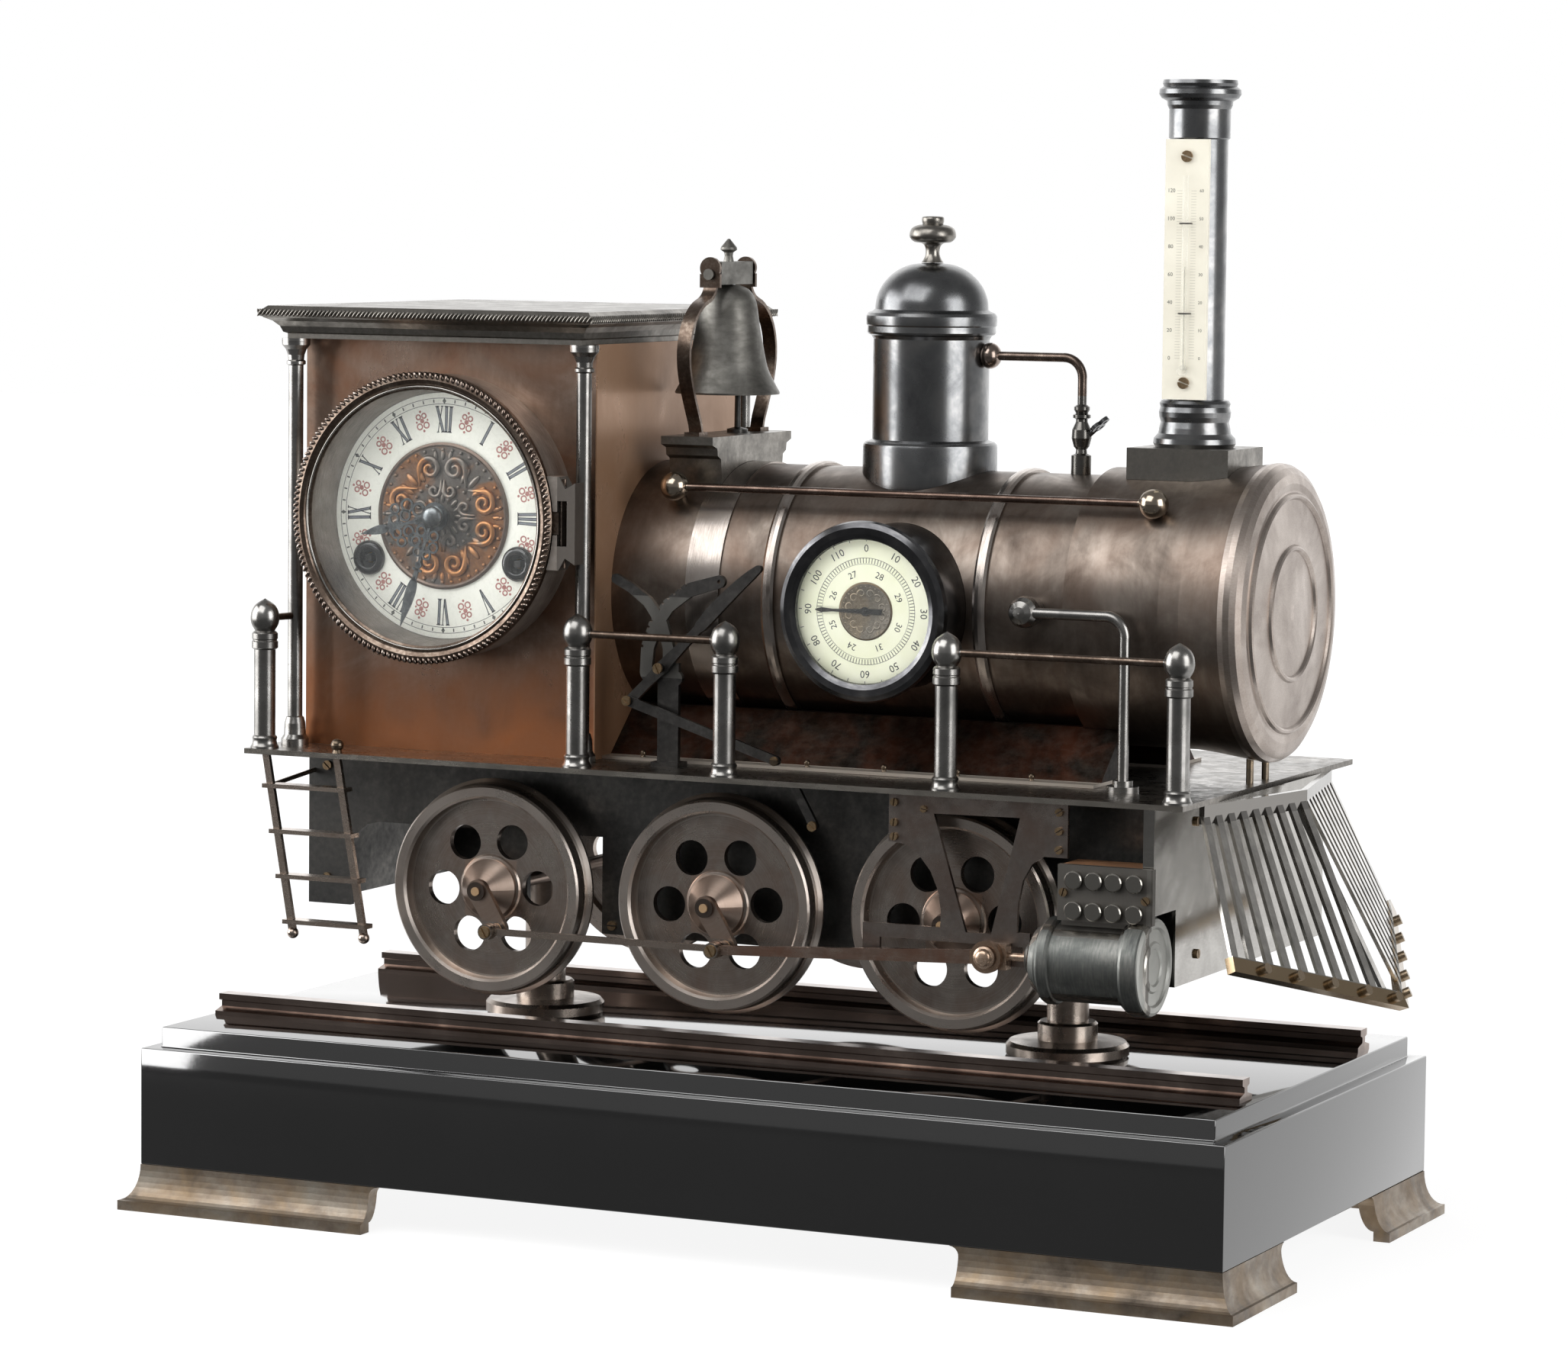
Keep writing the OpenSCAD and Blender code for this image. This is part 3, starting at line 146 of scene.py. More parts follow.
def metal_finish(name, tones, rough, patch_mm, grain_mm, grain=0.35, bump=0.02, dust=0.0,
                 centre=None, metallic=1.0, bloom=None):
    """A patinated metal. tones run from dark to light over patches patch_mm wide; rough is the
    lowest and highest roughness; grain_mm is the size of the tool marks along X, Y and Z, or out
    from the centre (x, z) where one is given; grain is the marks' share in the tone and bump their
    depth in mm; dust is how much lies on what faces up; bloom is a second tone that shows through
    in clouds: (tone, cloud size in mm, share)."""
    material, tree, shader, place = new_finish(name)
    patches = add(tree, "TexNoise", {"Vector": place, "Scale": 1000 / patch_mm, "Detail": 7.0,
                                     "Roughness": 0.62, "Distortion": 0.4})
    if centre:
        radius = radius_from(tree, place, centre)
        depth = add(tree, "SeparateXYZ", {"Vector": place}).outputs["Y"]
        grain_place = add(tree, "CombineXYZ", {"X": radius, "Y": depth}).outputs[0]
    else:
        grain_place = place
    marks_scale = tuple(1000 / size for size in grain_mm)
    scaled = add(tree, "VectorMath", {0: grain_place, 1: marks_scale}, operation="MULTIPLY")
    marks = add(tree, "TexNoise", {"Vector": scaled.outputs[0], "Scale": 1.0, "Detail": 4.0,
                                   "Roughness": 0.6})
    both = add(tree, "Mix", {0: grain, 2: patches.outputs["Fac"], 3: marks.outputs["Fac"]})
    stops = [(0.30 + 0.4 * i / (len(tones) - 1), tone) for i, tone in enumerate(tones)]
    colour = set_ramp(add(tree, "ValToRGB", {"Fac": both.outputs[0]}), stops)
    tree.links.new(colour.outputs["Color"], shader.inputs["Base Color"])
    if bloom:
        bloom_tone, cloud_mm, bloom_share = bloom
        clouds = add(tree, "TexNoise", {"Vector": place, "Scale": 1000 / cloud_mm, "Detail": 5.0,
                                        "Roughness": 0.55, "Distortion": 0.8})
        cover = add(tree, "MapRange", {"Value": clouds.outputs["Fac"], "From Min": 0.42,
                                       "From Max": 0.66, "To Max": bloom_share})
        lay_over(tree, cover.outputs["Result"], bloom_tone)
    roughness = add(tree, "MapRange", {"Value": both.outputs[0], "From Min": 0.3, "From Max": 0.7,
                                       "To Min": rough[1], "To Max": rough[0]})
    rough_out = roughness.outputs["Result"]
    if dust:
        normal = add(tree, "NewGeometry").outputs["Normal"]
        up = add(tree, "SeparateXYZ", {"Vector": normal}).outputs["Z"]
        level = add(tree, "MapRange", {"Value": up, "From Min": 0.35, "From Max": 1.0})
        specks = add(tree, "TexNoise", {"Vector": place, "Scale": 160.0, "Detail": 8.0,
                                        "Roughness": 0.75})
        heap = add(tree, "MapRange", {"Value": specks.outputs["Fac"], "From Min": 0.42,
                                      "From Max": 0.75, "To Max": dust})
        share = add(tree, "Math", {0: level.outputs["Result"], 1: heap.outputs["Result"]},
                    operation="MULTIPLY")
        lay_over(tree, share.outputs[0], DUST)
        dull = add(tree, "Mix", {0: share.outputs[0], 2: rough_out, 3: 0.9})
        rough_out = dull.outputs[0]
    relief = add(tree, "Bump", {"Height": marks.outputs["Fac"], "Strength": 0.5,
                                "Distance": bump * MM})
    tree.links.new(rough_out, shader.inputs["Roughness"])
    tree.links.new(relief.outputs["Normal"], shader.inputs["Normal"])
    shader.inputs["Metallic"].default_value = metallic
    return material


def enamel_finish(name, tones, rough, patch_mm, gloss=0.5):
    """A glossy or printed surface with faint clouding."""
    material, tree, shader, place = new_finish(name)
    cloud = add(tree, "TexNoise", {"Vector": place, "Scale": 1000 / patch_mm, "Detail": 5.0})
    stops = [(0.3, tones[0]), (0.7, tones[1])]
    colour = set_ramp(add(tree, "ValToRGB", {"Fac": cloud.outputs["Fac"]}), stops)
    specks = add(tree, "TexNoise", {"Vector": place, "Scale": 700.0, "Detail": 2.0})
    roughness = add(tree, "MapRange", {"Value": specks.outputs["Fac"], "To Min": rough[0],
                                       "To Max": rough[1]})
    tree.links.new(colour.outputs["Color"], shader.inputs["Base Color"])
    tree.links.new(roughness.outputs["Result"], shader.inputs["Roughness"])
    shader.inputs["Specular IOR Level"].default_value = gloss
    return material


# Finishes, named for what they are on this clock

# Black marble, polished: mirror-smooth, faint grey clouding, hairline wear
black_marble = enamel_finish("black_marble_polished", ("#020202", "#070707"), (0.03, 0.07), 60)
black_marble.node_tree.nodes["Principled BSDF"].inputs["IOR"].default_value = 2.4

# Bronze feet, worn: tan where the brown lacquer has gone, streaked along the casting
foot_bronze = metal_finish("worn_tan_bronze", ("#453d35", "#776c60", "#9b9488"), (0.3, 0.5), 20,
                           (8, 8, 4), 0.25, 0.04, bloom=("#8a7355", 16, 0.45), metallic=0.85)

# Steel rails, browned
rail_steel = metal_finish("browned_rail_steel", ("#655850", "#877870", "#b5a59a"), (0.12, 0.24), 40,
                          (30, 4, 4), 0.2, 0.004)

# Gun-metal bronze, dark and softly polished: dome, chimney and tap key
gun_metal = metal_finish("dark_polished_gun_metal", ("#555557", "#707172", "#8e8d8c"), (0.2, 0.32),
                         20, (6, 6, 6), 0.2, 0.0, 0.08)

# Turned columns and posts: the same metal, lighter and rubbed by hand
column_metal = metal_finish("dull_grey_column_metal", ("#676664", "#888683", "#a9a7a4"),
                            (0.22, 0.34), 16, (6, 6, 6), 0.15, 0.0, 0.1)

# Brown bronze of the two pedestals
pedestal_bronze = metal_finish("brown_pedestal_bronze", ("#6a6059", "#93887f", "#b9aea4"),
                               (0.22, 0.36), 24, (6, 6, 6), 0.15, 0.0, 0.1)

# Dull gun metal of the cornice, the chimney's block, the bell's saddle and the dome's finial
cornice_bronze = metal_finish("dull_gun_metal", ("#5c5a56", "#7f7b75", "#a19d96"), (0.24, 0.42), 14,
                              (2, 2, 2), 0.3, 0.03, 0.2)

# Sheet bronze of the cab: brown patina with cloudy copper patches
cab_bronze = metal_finish("brown_cab_patina_and_painted_reflections", ("#54443b", "#9c8576", "#dfc6b6"), (0.2, 0.44), 42,
                          (4, 4, 12), 0.15, 0.015, 0.1, bloom=("#8f5f41", 44, 0.6), metallic=0.9)

# Boiler bronze, brown, brushed round the barrel
boiler_bronze = metal_finish("brushed_brown_bronze", ("#473e38", "#71675f", "#998f86"),
                             (0.28, 0.44), 26, (5, 22, 22), 0.22, 0.006, 0.15,
                             bloom=("#6b5446", 40, 0.4))

# Bright bands where the patina is polished away
band_bronze = metal_finish("polished_band_bronze", ("#8b827b", "#aba29b", "#c6beb7"), (0.18, 0.3),
                           20, (0.5, 7, 7), 0.35)

# Front cover: spun bronze, pale
cover_bronze = metal_finish("spun_cover_bronze", ("#857a73", "#a59a92", "#c2b8b0"), (0.24, 0.4), 26,
                            (3, 0.6, 0.6), 0.25)

# Copper brown of the bell's straps and the rails between the posts
copper_brown = metal_finish("copper_brown_patina", ("#40362f", "#66584e", "#918478"), (0.22, 0.4),
                            9, (1.5, 1.5, 1.5), 0.4, 0.02)

# Steam pipe: brown bronze with a grey iron tap
pipe_bronze = metal_finish("pipe_brown_bronze", ("#463c36", "#6a5d55", "#94867b"), (0.2, 0.36), 9,
                           (2, 2, 2), 0.3)

# Bezel door: the copper brown again; below, its hinge's knuckle gets a black band of painted shade
# that stands for a slot
bezel_copper = metal_finish("bezel_copper_patina_and_painted_slot_shade", ("#40362f", "#66584e", "#918478"), (0.22, 0.4),
                            9, (1.5, 1.5, 1.5), 0.4, 0.02)

# Rope beads of the bezel: dark brown with bright worn tips
rope_bronze = metal_finish("worn_rope_bronze", ("#3d322c", "#75675e", "#c4b9b0"), (0.14, 0.28), 3,
                           (1, 1, 1), 0.4)

# Clock drum: brown-grey bronze
drum_bronze = metal_finish("brown_grey_bronze", ("#6d6661", "#8f8780", "#aea69e"), (0.3, 0.46), 18,
                           (5, 0.7, 5), metallic=0.8)

# Bell metal, dull grey-green
bell_metal = metal_finish("dull_bell_metal", ("#5a5854", "#74726d", "#8f8d88"), (0.42, 0.58), 12,
                          (5, 5, 2), 0.3)

# Blackened iron of the frame plates, the striker, the needle and the winding arbors
black_iron = metal_finish("blackened_iron", ("#3a3a3a", "#565553", "#75726e"), (0.28, 0.46), 25,
                          (3, 3, 3), 0.4, 0.04, 0.25)

# Levers and quadrant: grey iron, lighter on the quadrant
lever_iron = metal_finish("grey_lever_iron", ("#3d3c3b", "#5b5957", "#7c7976"), (0.26, 0.42), 10,
                          (3, 3, 3), 0.35)

# Handrail: brown rod between two polished knobs
rail_copper = metal_finish("handrail_copper", ("#40332d", "#66554c", "#8e7b70"), (0.2, 0.34), 12,
                           (6, 2, 2), 0.3)

# Footplate: black, dusty on top
deck_iron = metal_finish("dusty_footplate", ("#4c4945", "#716c66", "#969088"), (0.16, 0.36), 25,
                         (12, 2, 2), 0.4, 0.02, 0.35)

# Skirt: copper sheet, dark and stained
skirt_copper = metal_finish("stained_copper_sheet", ("#131110", "#27201c", "#43342a"), (0.34, 0.6),
                            22, (7, 3, 3), 0.4, 0.04, 0.3, bloom=("#7a4630", 24, 0.35))

# Front plate: pale polished steel
pale_steel = metal_finish("pale_polished_steel", ("#95928d", "#adaaa5", "#c4c1bc"), (0.08, 0.18),
                          30, (3, 3, 0.8), 0.2, 0.004)

# Brass of screws and nuts, dulled
screw_brass = metal_finish("screw_brass", ("#6c5b46", "#9a8366", "#c4ab8b"), (0.26, 0.44), 4,
                           (1, 1, 1), 0.4)

# Knob of the steam pipe: grey-brown, polished
knob_bronze = metal_finish("pipe_knob_bronze", ("#6b5f57", "#8f8178", "#b4a69c"), (0.16, 0.28), 8,
                           (2, 2, 2), 0.3)

# Clock movement brass
movement_brass = metal_finish("lacquered_movement_brass", ("#8a7040", "#a98c50", "#bfa468"),
                              (0.22, 0.36), 30, (8, 1, 1), 0.3)

# Cylinder: grey steel
cylinder_steel = metal_finish("grey_cylinder_steel", ("#4e5050", "#6a6c69", "#8d8c88"),
                              (0.42, 0.58), 14, (0.8, 6, 6), 0.35, 0.02, 0.15)

# Brown-black steel of the coupling rod and the ladder
rod_steel = metal_finish("brown_black_rod_steel", ("#776a61", "#a99b90", "#d0c2b5"), (0.2, 0.34),
                         10, (8, 2, 1), 0.3)

# Connecting rod: brown steel, its big eye of yellow bronze
rod_brown = metal_finish("brown_connecting_rod", ("#715e53", "#a18a7d", "#ccb9ab"), (0.22, 0.36),
                         10, (8, 2, 1), 0.3, bloom=("#94614a", 14, 0.4))

# Crosshead: yellow bronze, rubbed bright
crosshead_bronze = metal_finish("rubbed_crosshead_bronze", ("#8a7563", "#b39a86", "#d8c4b2"),
                                (0.2, 0.34), 6, (2, 2, 2), 0.3, metallic=0.85)

# Slide bar bracket
bracket_steel = metal_finish("dark_bracket_steel", ("#675f59", "#8c837d", "#b8ada5"), (0.22, 0.38),
                             16, (4, 4, 4), 0.35, bloom=("#7d5c4b", 18, 0.3))

# Blued steel hands, worn grey
blued_steel = metal_finish("blue_grey_hand_steel", ("#3d4246", "#6b7072", "#969b9b"), (0.28, 0.42),
                           5, (1, 1, 1), 0.3)

# Barometer case: black lacquered brass
case_black = metal_finish("black_lacquered_case", ("#3a3a3b", "#58585a", "#7d7c7b"), (0.14, 0.26),
                          16, (6, 0.6, 6), 0.3)

# Black eyelets round the winding holes
eyelet_black = enamel_finish("black_eyelet_lacquer", ("#0b0c0d", "#1a1c1e"), (0.1, 0.2), 8,
                             gloss=0.7)

# Ivory plate of the thermometer
ivory = enamel_finish("thermometer_ivory", ("#d6d1c2", "#e2decf"), (0.3, 0.45), 16)

# White enamel dial
dial_enamel = enamel_finish("white_dial_enamel", ("#e9eadf", "#f5f6ec"), (0.22, 0.34), 22)

# Barometer card, cream going green-yellow
baro_card = enamel_finish("cream_barometer_card", ("#e6e8cb", "#f1f2dd"), (0.4, 0.55), 14)

# Printed black of the numerals, a little grey where it is worn
numeral_ink = enamel_finish("numeral_black", ("#1f2226", "#34383d"), (0.4, 0.55), 3)

# Grey filling inside the numerals' thick strokes
numeral_grey = enamel_finish("numeral_grey_fill", ("#6c7076", "#858a8f"), (0.4, 0.55), 3)

# Red-pink printing of the knots
knot_red = enamel_finish("knot_red_print", ("#9a5f58", "#b9857c"), (0.4, 0.55), 2)

# Fine dark grey printing of tracks and scales
scale_grey = enamel_finish("scale_grey_print", ("#4b4c48", "#6b6c66"), (0.45, 0.6), 3)

# Faint brown-grey scale lines of the thermometer
scale_faint = enamel_finish("scale_faint_print", ("#a5a295", "#c3c0b3"), (0.45, 0.6), 3)


def wheel_finish(name, axle_x):
    """Wheel bronze, brown-grey, turned: the tool marks run round the axle. The tyre is rubbed
    paler, the hub's cone is pink-brown, and washer, nut and the end of the crank's pin each have a
    tone of their own."""
    hub_half, tyre_share = 12, 0.55
    axle = (axle_x, AXLE_Z)
    material = metal_finish(name, ("#6f6661", "#9e948c", "#cac0b7"), (0.22, 0.38), 14, (0.7, 3, 3),
                            0.35, 0.02, 0.15, centre=axle, bloom=("#856552", 22, 0.35))
    tree = material.node_tree
    radius = radius_from(tree, add(tree, "TexCoord").outputs["Object"], axle)
    tyre = add(tree, "Math", {0: radius, 1: TYRE_R * MM}, operation="GREATER_THAN")
    polish = add(tree, "Math", {0: tyre.outputs[0], 1: tyre_share}, operation="MULTIPLY")
    lay_over(tree, polish.outputs[0], "#c4bbb3")
    tint_zone(material, "#ab9485", 0.65, rough=0.3, x=(axle_x - hub_half, axle_x + hub_half),
              z=(AXLE_Z - hub_half, AXLE_Z + hub_half))
    tint_zone(material, "#45403d", 0.8, y=(-89.5, -88.3))
    tint_zone(material, "#c2a078", 0.85, metallic=0.6, y=(-90.5, -89.5))
    tint_zone(material, "#b5aca2", 0.8, rough=0.2, y=(-103.0, -97.2))
    return material


def tint_zone(material, tone, share, metallic=None, rough=None, **limits):
    """Gives the part of a piece that lies between limits (x, y or z: lowest and highest, in
    millimetres from the plinth's middle) a tone of its own, and where given its own metallic value
    and roughness."""
    tree = material.node_tree
    shader = tree.nodes["Principled BSDF"]
    split = add(tree, "SeparateXYZ", {"Vector": add(tree, "TexCoord").outputs["Object"]})
    inside = share
    for axis, (low, high) in limits.items():
        ahead = AHEAD if axis == "x" else 0.0
        middle, half = (low + high) / 2 - ahead, (high - low) / 2
        off = add(tree, "Math", {0: split.outputs[axis.upper()], 1: middle * MM},
                  operation="SUBTRACT")
        size = add(tree, "Math", {0: off.outputs[0]}, operation="ABSOLUTE")
        near = add(tree, "Math", {0: size.outputs[0], 1: half * MM}, operation="LESS_THAN")
        inside = add(tree, "Math", {0: near.outputs[0], 1: inside}, operation="MULTIPLY").outputs[0]
    lay_over(tree, inside, tone)
    if metallic is not None:
        sheen = add(tree, "Mix", {0: inside, 2: 1.0, 3: metallic})
        tree.links.new(sheen.outputs[0], shader.inputs["Metallic"])
    if rough is not None:
        before = shader.inputs["Roughness"].links[0].from_socket
        polish = add(tree, "Mix", {0: inside, 2: before, 3: rough})
        tree.links.new(polish.outputs[0], shader.inputs["Roughness"])


def warm_foot(material, tone, share, low, high):
    """Paints a warm reflection towards the foot of a piece: a warmer tone that fades out from low
    to high (millimetres)."""
    ragged_mm = 40
    tree = material.node_tree
    place = add(tree, "TexCoord").outputs["Object"]
    split = add(tree, "SeparateXYZ", {"Vector": place})
    streaks = add(tree, "TexNoise", {"Vector": place, "Scale": 22.0, "Detail": 5.0})
    ragged = add(tree, "Math", {0: streaks.outputs["Fac"], 1: ragged_mm * MM,
                                2: split.outputs["Z"]}, operation="MULTIPLY_ADD")
    first, last = (low + ragged_mm / 2) * MM, (high + ragged_mm / 2) * MM
    fade = add(tree, "MapRange", {"Value": ragged.outputs[0], "From Min": first, "From Max": last,
                                  "To Min": share, "To Max": 0.0}, interpolation_type="SMOOTHSTEP")
    lay_over(tree, fade.outputs["Result"], tone)


def cowcatcher_finish():
    """Polished flat bars of mid-grey steel under a dark band, with tan bronze bars along the foot,
    which climb from the nose to the sides."""
    nose_z, side_z, side_y, bar_height, band_z = 108.8, 132.6, 94.5, 3.45, 183.45
    material = metal_finish("cowcatcher_bars", ("#7b7975", "#a19e99", "#c6c3bd"), (0.1, 0.22), 14,
                            (3, 3, 6), 0.3, 0.008)
    tree = material.node_tree
    split = add(tree, "SeparateXYZ", {"Vector": add(tree, "TexCoord").outputs["Object"]})
    side = add(tree, "Math", {0: split.outputs["Y"]}, operation="ABSOLUTE")
    foot = add(tree, "Math", {0: side.outputs[0], 1: (side_z - nose_z) / side_y, 2: nose_z * MM},
               operation="MULTIPLY_ADD")
    above = add(tree, "Math", {0: split.outputs["Z"], 1: foot.outputs[0]}, operation="SUBTRACT")
    low = add(tree, "Math", {0: above.outputs[0], 1: bar_height * MM}, operation="LESS_THAN")
    high = add(tree, "Math", {0: split.outputs["Z"], 1: band_z * MM}, operation="GREATER_THAN")
    lay_over(tree, low.outputs[0], "#9a876d")
    lay_over(tree, high.outputs[0], "#8a8783")
    return material


def relief_finish(name, centre, face_y, depth, ring, gilt, hollow, worn, ring_tone):
    """Embossed brass: gilt on what stands out, brown in the hollows, worn to grey in clouds, plain
    beyond ring."""
    grit_depth = 0.15
    material, tree, shader, place = new_finish(name)
    split = add(tree, "SeparateXYZ", {"Vector": place})
    height = add(tree, "MapRange", {"Value": split.outputs["Y"], "From Min": face_y * MM,
                                    "From Max": (face_y - depth) * MM})
    grit = add(tree, "TexNoise", {"Vector": place, "Scale": 900.0, "Detail": 4.0})
    stained = add(tree, "Math", {0: grit.outputs["Fac"], 1: 0.5, 2: height.outputs["Result"]},
                  operation="MULTIPLY_ADD")
    tones = [(0.22, hollow), (0.55, gilt[0]), (1.0, gilt[1])]
    colour = set_ramp(add(tree, "ValToRGB", {"Fac": stained.outputs[0]}), tones)
    clouds = add(tree, "TexNoise", {"Vector": place, "Scale": 48.0, "Detail": 5.0,
                                    "Distortion": 0.9})
    mask = add(tree, "MapRange", {"Value": clouds.outputs["Fac"], "From Min": 0.43,
                                  "From Max": 0.54, "To Max": 0.95})
    greys = [(0.2, worn[0]), (0.9, worn[1])]
    grey = set_ramp(add(tree, "ValToRGB", {"Fac": stained.outputs[0]}), greys)
    mixed = add(tree, "Mix", {0: mask.outputs["Result"], 6: colour.outputs["Color"],
                              7: grey.outputs["Color"]}, data_type="RGBA")
    tree.links.new(mixed.outputs[2], shader.inputs["Base Color"])
    outside = add(tree, "Math", {0: radius_from(tree, place, centre), 1: ring * MM},
                  operation="GREATER_THAN")
    lay_over(tree, outside.outputs[0], ring_tone)
    rough = add(tree, "MapRange", {"Value": grit.outputs["Fac"], "To Min": 0.3, "To Max": 0.55})
    tree.links.new(rough.outputs["Result"], shader.inputs["Roughness"])
    relief = add(tree, "Bump", {"Height": grit.outputs["Fac"], "Strength": 0.5,
                                "Distance": grit_depth * MM})
    tree.links.new(relief.outputs["Normal"], shader.inputs["Normal"])
    shader.inputs["Metallic"].default_value = 0.9
    return material


def glass_finish():
    """Clear flat glass: nearly all see-through, with more gloss where it is seen at a slant."""
    material, tree, shader, place = new_finish("clear_clock_glass")
    slant = add(tree, "LayerWeight", {"Blend": 0.5})
    steep = add(tree, "Math", {0: slant.outputs["Facing"], 1: 4.0}, operation="POWER")
    smear = add(tree, "TexNoise", {"Vector": place, "Scale": 60.0, "Detail": 4.0})
    haze = add(tree, "MapRange", {"Value": smear.outputs["Fac"], "To Min": 0.01, "To Max": 0.04})
    cover = add(tree, "Math", {0: steep.outputs[0], 1: 0.5, 2: haze.outputs["Result"]},
                operation="MULTIPLY_ADD")
    tree.links.new(cover.outputs[0], shader.inputs["Alpha"])
    shader.inputs["Base Color"].default_value = linear("#f2f5f4")
    shader.inputs["Roughness"].default_value = 0.03
    return material


cowcatcher_steel = cowcatcher_finish()
clear_glass = glass_finish()
WHEEL_FINISHES = {name: wheel_finish(name + "_turned_bronze", x) for name, x in AXLES.items()}

# Cab: a painted warm reflection towards the foot, and a painted pale reflection on the end wall
# behind the bell
warm_foot(cab_bronze, "#a8683f", 0.75, 196.0, 250.0)
# Painted pale reflection on the cab's end wall behind the bell, with less metallic sheen
tint_zone(cab_bronze, "#a17d60", 0.8, metallic=0.35, x=(-57.6, -56.0))

# Door and drum: painted shade, a black band on the hinge's knuckle for its slot, and the drum's
# dark lug
tint_zone(bezel_copper, "#161311", 0.9, x=(-63.4, -59.3), z=(281.0, 301.0))
tint_zone(drum_bronze, "#5f5a55", 0.8, x=(-63.6, -50.0))

# Cylinder: a painted highlight on the end cover, the valve chest's plate, its bolts, and a painted
# copper-coloured highlight on the chest's top ledge
# Painted highlight on the cylinder's end cover, the face turned towards the right lamp
tint_zone(cylinder_steel, "#c2c2bd", 0.7, x=(199.3, 201.0))
tint_zone(cylinder_steel, "#6c6863", 0.85, y=(-102.2, -98.9))
tint_zone(cylinder_steel, "#a09c95", 0.8, rough=0.2, y=(-105.0, -102.2))
# Painted copper-coloured highlight along the valve chest's top ledge
tint_zone(cylinder_steel, "#d9a47c", 0.85, y=(-99.0, -82.0), z=(167.6, 168.4))

# The steam pipe's tap, the quadrant of the levers, and the handrail's two knobs
tint_zone(pipe_bronze, "#6a6966", 0.9, z=(300.0, 345.0))
tint_zone(lever_iron, "#8b8984", 0.7, y=(-71.6, -69.0), z=(229.0, 262.0))
knob_half = 6.2
for knob_x in HANDRAIL_KNOBS:
    tint_zone(rail_copper, "#b3a797", 0.8, rough=0.16, x=(knob_x - knob_half, knob_x + knob_half))

# The skirt's bright foot, dark rivets of the deck, paler screws of the cowcatcher, the rod's eye,
# the deck's edge
tint_zone(skirt_copper, "#c9bfb3", 0.85, metallic=0.4, rough=0.3, z=(193.2, 194.6))
tint_zone(screw_brass, "#5a5148", 0.85, z=(193.0, 199.0))
tint_zone(screw_brass, "#8d8171", 0.7, x=(202.0, 275.0), z=(100.0, 215.0))
eye_half = 6.6
tint_zone(rod_brown, "#a58a74", 0.8, metallic=0.9, rough=0.24,
          x=(ROD_EYE[0] - eye_half, ROD_EYE[0] + eye_half))
tint_zone(deck_iron, "#b4aea5", 0.8, y=(-99.2, -98.7))

# Embossed dial centre: gilt brass gone brown in the hollows, worn grey in places
dial_relief = relief_finish("embossed_gilt_brass", CLOCK, -70.2, 1.9, 28.5, ("#8a6040", "#c68d5c"),
                            "#443124", ("#35322f", "#86827c"), "#7b6b60")

# Embossed centre of the barometer: dark brown brass
barometer_relief = relief_finish("dark_embossed_brass", BAROMETER, -75.5, 0.45, 11.0,
                                 ("#6d6252", "#a89a84"), "#26211c", ("#33302c", "#8d867a"),
                                 "#6f5f4b")


def dress(node, material):
    """Gives a CAD node its finish."""
    slots = NODES[node].material_slots
    for slot in slots:
        slot.material = material
    if not slots:
        NODES[node].data.materials.append(material)


# The CAD nodes that stay, by finish; the rest are replaced below
DRESSED = (
    (foot_bronze, ["feet"]),
    (rail_steel, ["rails"]),
    (pedestal_bronze, ["pedestals"]),
    (gun_metal, ["chimney", "tap_key"]),
    (column_metal, ["cab_columns", "side_pipe"]),
    (cornice_bronze, ["cab_roof", "chimney_block", "bell_saddle"]),
    (cab_bronze, ["cab"]),
    (boiler_bronze, ["boiler"]),
    (band_bronze, ["boiler_bands"]),
    (cover_bronze, ["smokebox_front"]),
    (bezel_copper, ["clock_bezel"]),
    (copper_brown, ["post_rails"]),
    (pipe_bronze, ["steam_pipe"]),
    (drum_bronze, ["clock_drum"]),
    (bell_metal, ["bell_yoke"]),
    (black_iron, ["chassis", "bell_striker", "barometer_needle"]),
    (black_iron, ["winding_arbor_left", "winding_arbor_right"]),
    (lever_iron, ["lever_stand", "reach_rod"]),
    (rail_copper, ["handrail"]),
    (deck_iron, ["footplate"]),
    (skirt_copper, ["boiler_skirt"]),
    (pale_steel, ["front_plate"]),
    (cowcatcher_steel, ["cowcatcher"]),
    (screw_brass, ["screws"]),
    (movement_brass, ["movement_frame", "spring_barrels"]),
    (dial_relief, ["dial_centre"]),
    (cylinder_steel, ["cylinder_block"]),
    (crosshead_bronze, ["crosshead"]),
    (rod_brown, ["connecting_rod"]),
    (rod_steel, ["coupling_rod", "ladder"]),
    (bracket_steel, ["slide_bracket"]),
    (case_black, ["barometer_case"]),
    (ivory, ["thermometer_plate"]),
    (dial_enamel, ["dial"]),
    (baro_card, ["barometer_dial"]),
    (clear_glass, ["barometer_glass", "bezel_glass", "thermometer_tube"]),
)
for finish, node_names in DRESSED:
    for node_name in node_names:
        dress(node_name, finish)
for node_name, wheel_bronze in WHEEL_FINISHES.items():
    dress(node_name, wheel_bronze)


# Shaping helpers

def pick(*objects):
    """Selects these objects and nothing else."""
    bpy.ops.object.select_all(action="DESELECT")
    for obj in objects:
        obj.select_set(True)
    bpy.context.view_layer.objects.active = objects[0]


def join(objects):
    """Several objects as one mesh."""
    pick(*objects)
    if len(objects) > 1:
        bpy.ops.object.join()
    return bpy.context.active_object


def copies(obj, places):
    """The piece copied to each place (a matrix), each copy with its own mesh, all joined."""
    twins = []
    for place in places:
        twin = obj.copy()
        twin.data = obj.data.copy()
        bpy.context.scene.collection.objects.link(twin)
        twin.matrix_world = place @ obj.matrix_world
        twins.append(twin)
    bpy.data.objects.remove(obj)
    return join(twins)


